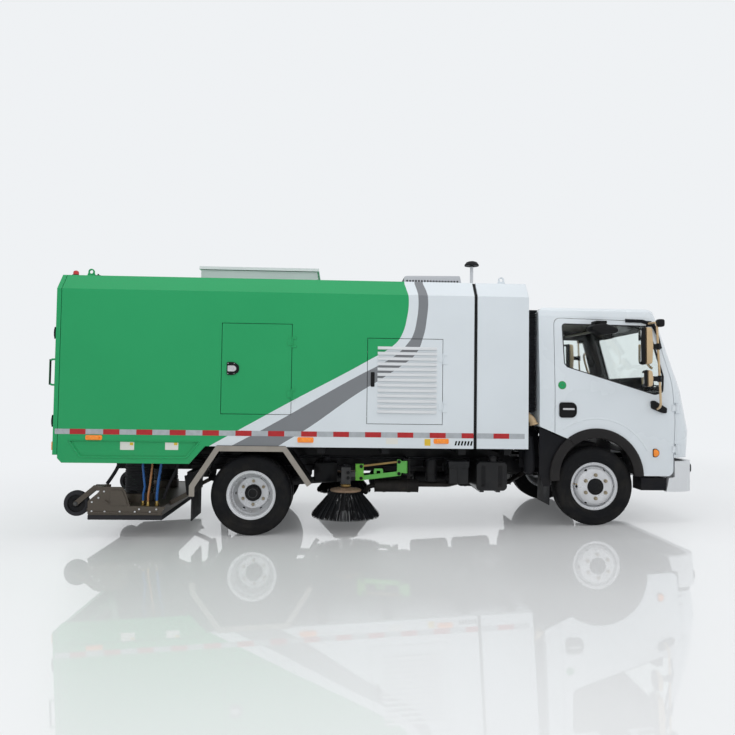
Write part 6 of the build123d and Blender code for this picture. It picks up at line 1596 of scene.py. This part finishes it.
@dataclass
class SideBrushes:
    """Plates and bristles of the two side brushes, and the finish of their linkages."""

    centre: tuple[float, float] = (882.0, -860.0)
    plate_r: float = 150.0
    plate_z: tuple[float, float] = (408.0, 442.0)
    sectors: int = 29
    rows: tuple[tuple[float, float], ...] = ((143, 331), (141, 322), (136, 314), (130, 300), (124, 287),
        (116, 275), (105, 264))
    pin_head: tuple[tuple[float, float], ...] = ((0, 0), (15, 0), (17, 3), (15, 7), (0, 8))
    seed: int = 20

    def tuft(self, solid: Solid, start: Vector, end: Vector, width: float, turned: float) -> None:
        """Flat-sided bundle of bristles from the plate to its splayed tip."""
        part = bmesh.new()
        bmesh.ops.create_cone(part, cap_ends=True, segments=5, radius1=width * 0.42, radius2=width, depth=1)
        bmesh.ops.rotate(part, matrix=Matrix.Rotation(turned, 3, "Z"), verts=part.verts)
        run = end - start
        bmesh.ops.scale(part, vec=(1, 0.6, run.length), verts=part.verts)
        turn = Vector(UP).rotation_difference(run).to_matrix().to_4x4()
        bmesh.ops.transform(part, matrix=Matrix.Translation((start + end) / 2) @ turn, verts=part.verts)
        solid.take(part)

    def bristles(self, side: Side) -> None:
        """Splayed bristles, made for one sector and spun round the brush, with lighter ones among them."""
        chance = random.Random(self.seed)
        cx, cy = self.centre
        step = math.tau / self.sectors
        for name, finish, count in (("brush_bristles", BRISTLE, 4), ("brush_bristles_grey", BRISTLE_GREY, 1)):
            solid = Solid()
            for start_r, reach in self.rows:
                for _ in range(count):
                    angle = chance.uniform(0, step)
                    swing = angle + chance.uniform(-0.05, 0.05)
                    low = 158 + (reach - 264) * 0.1 + chance.triangular(0, 46, 4)
                    end_r = reach - chance.uniform(0, 12) - (0 if finish is BRISTLE else 2)
                    start = Vector((cx + start_r * math.cos(angle), cy + start_r * math.sin(angle), 410))
                    end = Vector((cx + end_r * math.cos(swing), cy + end_r * math.sin(swing), low))
                    self.tuft(solid, start, end, chance.uniform(2.2, 3.6), chance.uniform(0, 3))
            bmesh.ops.spin(solid.bm, geom=[*solid.bm.verts, *solid.bm.edges, *solid.bm.faces],
                cent=(cx, cy, 0), axis=UP, dvec=(0, 0, 0), angle=step * (self.sectors - 1),
                steps=self.sectors - 1, use_merge=False, use_duplicate=True, use_normal_flip=False)
            solid.piece(name, finish, "side_brush_{}", side, smooth=60)

    def plate(self, side: Side) -> None:
        """Brush plate with its rolled rim, hub, bolts and drive shaft."""
        solid = Solid()
        x, y = self.centre
        low, high = self.plate_z
        profile = [(0, low), (self.plate_r - 6, low), (self.plate_r, low + 5), (self.plate_r, low + 17),
            (self.plate_r - 4, low + 21), (self.plate_r - 12, low + 21), (self.plate_r - 16, low + 24),
            (76, high - 8), (70, high - 2), (52, high), (20, high), (20, 519), (0, 519)]
        solid.spin(profile, (x, y, 0), UP, steps=64)
        for u, v in around(x, y, 104, 6, 15):
            solid.bolt((u, v, high - 12), 8, 9, UP)
        solid.piece("brush_plate", BRUSH_PLATE, "side_brush_{}", side, smooth=40, replaces=["side_brush_{}"])

    def motor(self, side: Side) -> None:
        """Hydraulic motor parts, its hoses' unions and the copper-coloured collar."""
        solid = Solid()
        x, y = self.centre
        solid.spin([(20.2, 476), (44, 476), (48, 472), (48, 458), (40, 450), (20.2, 450)], (x, y, 0), UP,
            steps=40)
        solid.piece("motor_collar", BRONZE, "brush_carrier_{}", side)
        solid.spin([(0, 640), (36, 640), (38, 652), (30, 664), (0, 666)], (x, y, 0), UP, steps=36)
        for dx, dy in ((-30, -30), (30, -30), (-30, 30), (30, 30)):
            solid.bolt((x + dx, y + dy, 640), 8, 8, UP)
        for dz in (540, 590):
            solid.spin([(0, 0), (15, 0), (15, 14), (11, 16), (11, 34), (0, 34)], (x + 20, y - 45, dz),
                (0, -1, 0), steps=20)
        solid.piece("motor_ports", GRIP, "brush_carrier_{}", side)

    def linkage(self, side: Side) -> None:
        """Pin heads and brackets along the brush's parallel arms."""
        solid = Solid()
        for z in (575, 690):
            solid.spin(self.pin_head, (1400, -824, z), steps=24)
        solid.piece("linkage_pins", CHASSIS, "brush_post_{}", side)
        for z in (528, 643):
            solid.spin(self.pin_head, (1030, -824, z), steps=24)
        solid.block((1002, 1018), (-800, -790), (560, 612), 2)
        solid.piece("carrier_pins", CHASSIS, "brush_carrier_{}", side)
        for x in (1168, 1232):
            solid.block((x - 14, x + 14), (-806, -794), (571, 612), 3)
        solid.block((1160, 1240), (-811, -789), (600, 622), 3)
        solid.piece("arm_bracket", LINK, "brush_arm_{}", side)

    def build(self) -> None:
        """Both side brushes."""
        dress(LINK, "brush_arm_{}", "brush_post_{}")
        dress(CARRIER, "brush_carrier_{}")
        dress(BRONZE, "brush_rod_{}")
        for side in Side:
            for make in (self.plate, self.bristles, self.motor, self.linkage):
                make(side)


@dataclass
class SuctionHead:
    """Suction head behind the rear axle with its skirts, castors, ducts and hoses."""

    half: float = 950.0
    castor: tuple[float, float, float, float] = (-1675.0, 274.0, 122.0, 850.0)
    duct: tuple[float, float, float] = (-1180.0, 530.0, 140.0)

    def plates(self, side: Side) -> None:
        """Bolts, stiffeners and cover of one side plate."""
        body, face = "suction_head", -self.half
        solid = Solid()
        for x, z in ((-1500, 300), (-1500, 215), (-1380, 212), (-1240, 212), (-1100, 212), (-960, 212),
                (-1390, 400), (-1260, 400), (-1440, 340), (-1200, 330), (-1060, 236), (-900, 236)):
            solid.bolt((x, face, z), 10, 7)
        solid.piece("head_bolts", BRIGHT, body, side)
        solid.plate([(-1330, 268, 12), (-1170, 268, 12), (-1186, 330, 14), (-1225, 412, 14),
            (-1330, 412, 14)], face, face - 8, edge=2)
        solid.plate([(-1528, 196, 8), (-890, 192, 8), (-884, 204, 8), (-1528, 210, 8)], face, face - 10,
            edge=2)
        solid.rod([(-1340, face - 12, 286), (-1360, face - 22, 300), (-1380, face - 12, 316)], 6)
        solid.piece("head_cover", HEAD, body, side)

    def skirts(self) -> None:
        """Rubber strips round the mouth, each with a clamping bar and its bolts."""
        solid = Solid()
        for side in Side:
            y = side.value * 930
            solid.plate([(-1540, 133, 6), (-850, 133, 6), (-850, 176), (-1540, 176)], y - 7, y + 7, edge=2)
        for x in (-1540, -860):
            solid.plate([(-935, 133, 6), (935, 133, 6), (935, 176), (-935, 176)], x - 4, x + 12, Across.X,
                edge=2)
        solid.piece("head_skirts", RUBBER, "suction_head")
        for index in range(18):
            solid.bolt((-1548, -850 + index * 100, 222), 9, 6, (-1, 0, 0))
        solid.block((-1552, -1546), (-940, 940), (206, 238), 1.5)
        for y in (-620, 620):
            solid.block((-1500, -1100), (y - 12, y + 12), (252, 284), 4)
        solid.block((-1400, -1370), (-900, 900), (252, 290), 4)
        solid.piece("head_bars", HEAD, "suction_head")

    def castors(self, side: Side) -> None:
        """Grooved tyre, pressed hub and axle nut of one castor."""
        x, z, radius, y = self.castor
        solid = Solid()
        solid.spin([(84, -24), (100, -25), (112, -22), (119, -16), (radius, -8), (radius, -3), (119, -2),
            (119, 2), (radius, 3), (radius, 8), (119, 16), (112, 22), (100, 25), (84, 24)], (x, -y, z),
            steps=56)
        solid.piece("castor_tyre", RUBBER, "castor_wheel_{}", side, replaces=["castor_wheel_{}"])
        solid.spin([(84.2, -22), (84.2, 22), (78, 25), (74, 16), (40, 10), (30, 24), (10.2, 24), (10.2, -24),
            (30, -24), (40, -10), (74, -16), (78, -25)], (x, -y, z), steps=48)
        for u, v in around(x, z, 57, 5):
            solid.bolt((u, -y - 12.5, v), 6, 5)
        solid.piece("castor_hub", CHASSIS, "castor_wheel_{}", side)
        solid.bolt((x, -y - 43, z), 15, 10)
        solid.bolt((x, -y - 40, z), 21, 3, sides=24)
        solid.piece("castor_nuts", CAST, "suction_head", side)

    def ducts(self) -> None:
        """Ribbed rubber ducts from the head up to the body's floor, with their clamps."""
        x, y, radius = self.duct
        profile = [(radius - 12, 341)]
        for index in range(20):
            z = 342 + index * 25
            profile += [(radius - 7, z), (radius - 1, z + 5), (radius - 1, z + 12), (radius - 7, z + 17)]
        profile += [(radius - 7, 842), (radius - 12, 842)]
        for side in Side:
            solid = Solid()
            solid.spin(profile, (x, -y, 0), UP, steps=56)
            solid.piece("suction_duct", RUBBER, "chassis", side, smooth=70, replaces=["suction_ducts"])
            for z in (360, 822):
                solid.spin([(radius - 3, -9), (radius, -9), (radius, 9), (radius - 3, 9)], (x, -y, z), UP,
                    steps=56)
                solid.block((x - 16, x + 16), (-y - radius - 6, -y - radius + 4), (z - 8, z + 8), 2)
            solid.piece("duct_clamps", CHASSIS, "chassis", side)

    def fittings(self) -> None:
        """Unions and sleeves at the ends of the hoses that feed the head."""
        solid = Solid()
        for x, y, radius in ((-925, -845, 13), (-1055, -845, 11), (-995, -895, 10)):
            solid.spin([(radius, 0), (radius + 8, 0), (radius + 8, 16), (radius + 4, 18), (radius + 4, 44),
                (radius, 46)], (x, y, 256), UP, steps=24)
        solid.piece("hose_unions", BRASS, "suction_head")
        for x, y, radius in ((-880, -860, 13), (-1060, -860, 11), (-965, -885, 10)):
            solid.spin([(radius, 0), (radius + 7, 0), (radius + 7, -14), (radius + 4, -16), (radius + 4, -40),
                (radius, -42)], (x, y, 842), UP, steps=24)
        solid.piece("hose_sockets", BRASS, "chassis")

    def build(self) -> None:
        """The whole head."""
        dress(HEAD, "suction_head")
        dress(HOSES, "hoses")
        self.skirts()
        self.ducts()
        self.fittings()
        for side in Side:
            self.plates(side)
            self.castors(side)


# stage


@dataclass
class Stage:
    """Camera, floor, sky and lamps."""

    eye: Point3 = (-0.3993, -7.6070, 1.3214)
    lens: float = 33.943
    yaw: float = 0.0431
    pitch: float = 0.0372
    roll: float = -0.0175
    haze: Colour = (0.865, 0.885, 0.905)
    lamps: tuple[tuple[str, Point3, Point3, Point2, float], ...] = (("roof_softbox", (0.0, -1.5, 7.5),
        (0.0, 0.0, 0.8), (9.0, 6.0), 250.0), ("side_softbox", (-1.5, -9.5, 5.2), (0.2, -0.8, 1.0), (8.0, 4.0),
        240.0), ("front_softbox", (9.0, -3.5, 4.0), (3.0, 0.0, 1.2), (4.0, 4.0), 112.0),
        ("back_softbox", (-7.5, 5.0, 5.0), (-1.0, 0.0, 1.2), (5.0, 4.0), 95.0))

    def camera(self) -> None:
        """Camera of the three-quarter side view."""
        forward = Vector((math.sin(self.yaw) * math.cos(self.pitch),
            math.cos(self.yaw) * math.cos(self.pitch), math.sin(self.pitch)))
        flat = Vector((math.cos(self.yaw), -math.sin(self.yaw), 0))
        up = flat.cross(forward)
        right = math.cos(self.roll) * flat + math.sin(self.roll) * up
        top = math.cos(self.roll) * up - math.sin(self.roll) * flat
        data = bpy.data.cameras.new("view")
        data.lens, data.sensor_width, data.clip_end = self.lens, 36.0, 200.0
        obj = bpy.data.objects.new("view", data)
        bpy.context.scene.collection.objects.link(obj)
        turn = Matrix((right, top, -forward)).transposed().to_4x4()
        obj.matrix_world = Matrix.Translation(self.eye) @ turn
        bpy.context.scene.camera = obj

    def floor(self) -> None:
        """Pale floor with a faint polish."""
        part = bmesh.new()
        bmesh.ops.create_grid(part, x_segments=2, y_segments=2, size=60)
        mesh = bpy.data.meshes.new("floor")
        part.to_mesh(mesh)
        part.free()
        graph = Graph("floor_pale")
        cloud = graph.noise(0.4, 2)
        graph.set(graph.shader.inputs["Roughness"], graph.ramp(cloud, 0.3, 0.7, 0.3, 0.4))
        graph.shader.inputs["Base Color"].default_value = (0.96, 0.965, 0.97, 1)
        graph.shader.inputs["Coat Weight"].default_value = 1.0
        graph.shader.inputs["Coat IOR"].default_value = 1.6
        graph.shader.inputs["Coat Roughness"].default_value = 0.015
        distance = graph.add("VectorMath", {0: graph.point}, "Value", operation="LENGTH")
        path = graph.nodes.new("ShaderNodeLightPath").outputs
        seen = graph.maths("MAXIMUM", path["Is Camera Ray"], path["Is Glossy Ray"])
        far = graph.maths("MULTIPLY", seen, graph.ramp(distance, 2.5, 10.0, 0.1, 1.0))
        haze = graph.add("Emission", {"Color": (*self.haze, 1)})
        blend = graph.add("MixShader", {0: far, 1: graph.shader.outputs[0], 2: haze})
        graph.links.new(blend, graph.nodes["Material Output"].inputs["Surface"])
        mesh.materials.append(graph.material)
        obj = bpy.data.objects.new("floor", mesh)
        bpy.context.scene.collection.objects.link(obj)

    def sky(self) -> None:
        """White surroundings, plainer as a light than as a background."""
        world = bpy.data.worlds.new("studio")
        bpy.context.scene.world = world
        world.use_nodes = True
        nodes, links = world.node_tree.nodes, world.node_tree.links
        backdrop = nodes["Background"]
        backdrop.inputs["Color"].default_value = (*self.haze, 1)
        path = nodes.new("ShaderNodeLightPath")
        seen = None
        for name in ("Is Camera Ray", "Is Glossy Ray", "Is Transmission Ray"):
            if seen is None:
                seen = path.outputs[name]
                continue
            join = nodes.new("ShaderNodeMath")
            join.operation = "MAXIMUM"
            links.new(seen, join.inputs[0])
            links.new(path.outputs[name], join.inputs[1])
            seen = join.outputs[0]
        level = nodes.new("ShaderNodeMapRange")
        level.inputs["To Min"].default_value, level.inputs["To Max"].default_value = 0.43, 1.0
        links.new(seen, level.inputs["Value"])
        links.new(level.outputs[0], backdrop.inputs["Strength"])

    def lights(self) -> None:
        """Soft area lamps."""
        for name, place, target, size, power in self.lamps:
            data = bpy.data.lights.new(name, "AREA")
            data.shape, data.size, data.size_y, data.energy = "RECTANGLE", size[0], size[1], power
            obj = bpy.data.objects.new(name, data)
            obj.visible_glossy = False
            bpy.context.scene.collection.objects.link(obj)
            aim = (Vector(target) - Vector(place)).to_track_quat("-Z", "Y").to_matrix().to_4x4()
            obj.matrix_world = Matrix.Translation(place) @ aim

    def build(self) -> None:
        """Everything round the truck."""
        self.camera()
        self.floor()
        self.sky()
        self.lights()
        bpy.context.scene.view_settings.view_transform = "Standard"


def main() -> None:
    """Build the truck's sub-assemblies in order."""
    logging.basicConfig(level=logging.INFO, format="%(message)s")
    for part in (Stage(), Wheels(), SweeperBody(), Chassis(), CabOutside(), Mirrors(), CabInside(),
            SideBrushes(), SuctionHead()):
        log.info("building %s", type(part).__name__)
        part.build()
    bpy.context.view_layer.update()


if __name__ == "__main__":
    main()
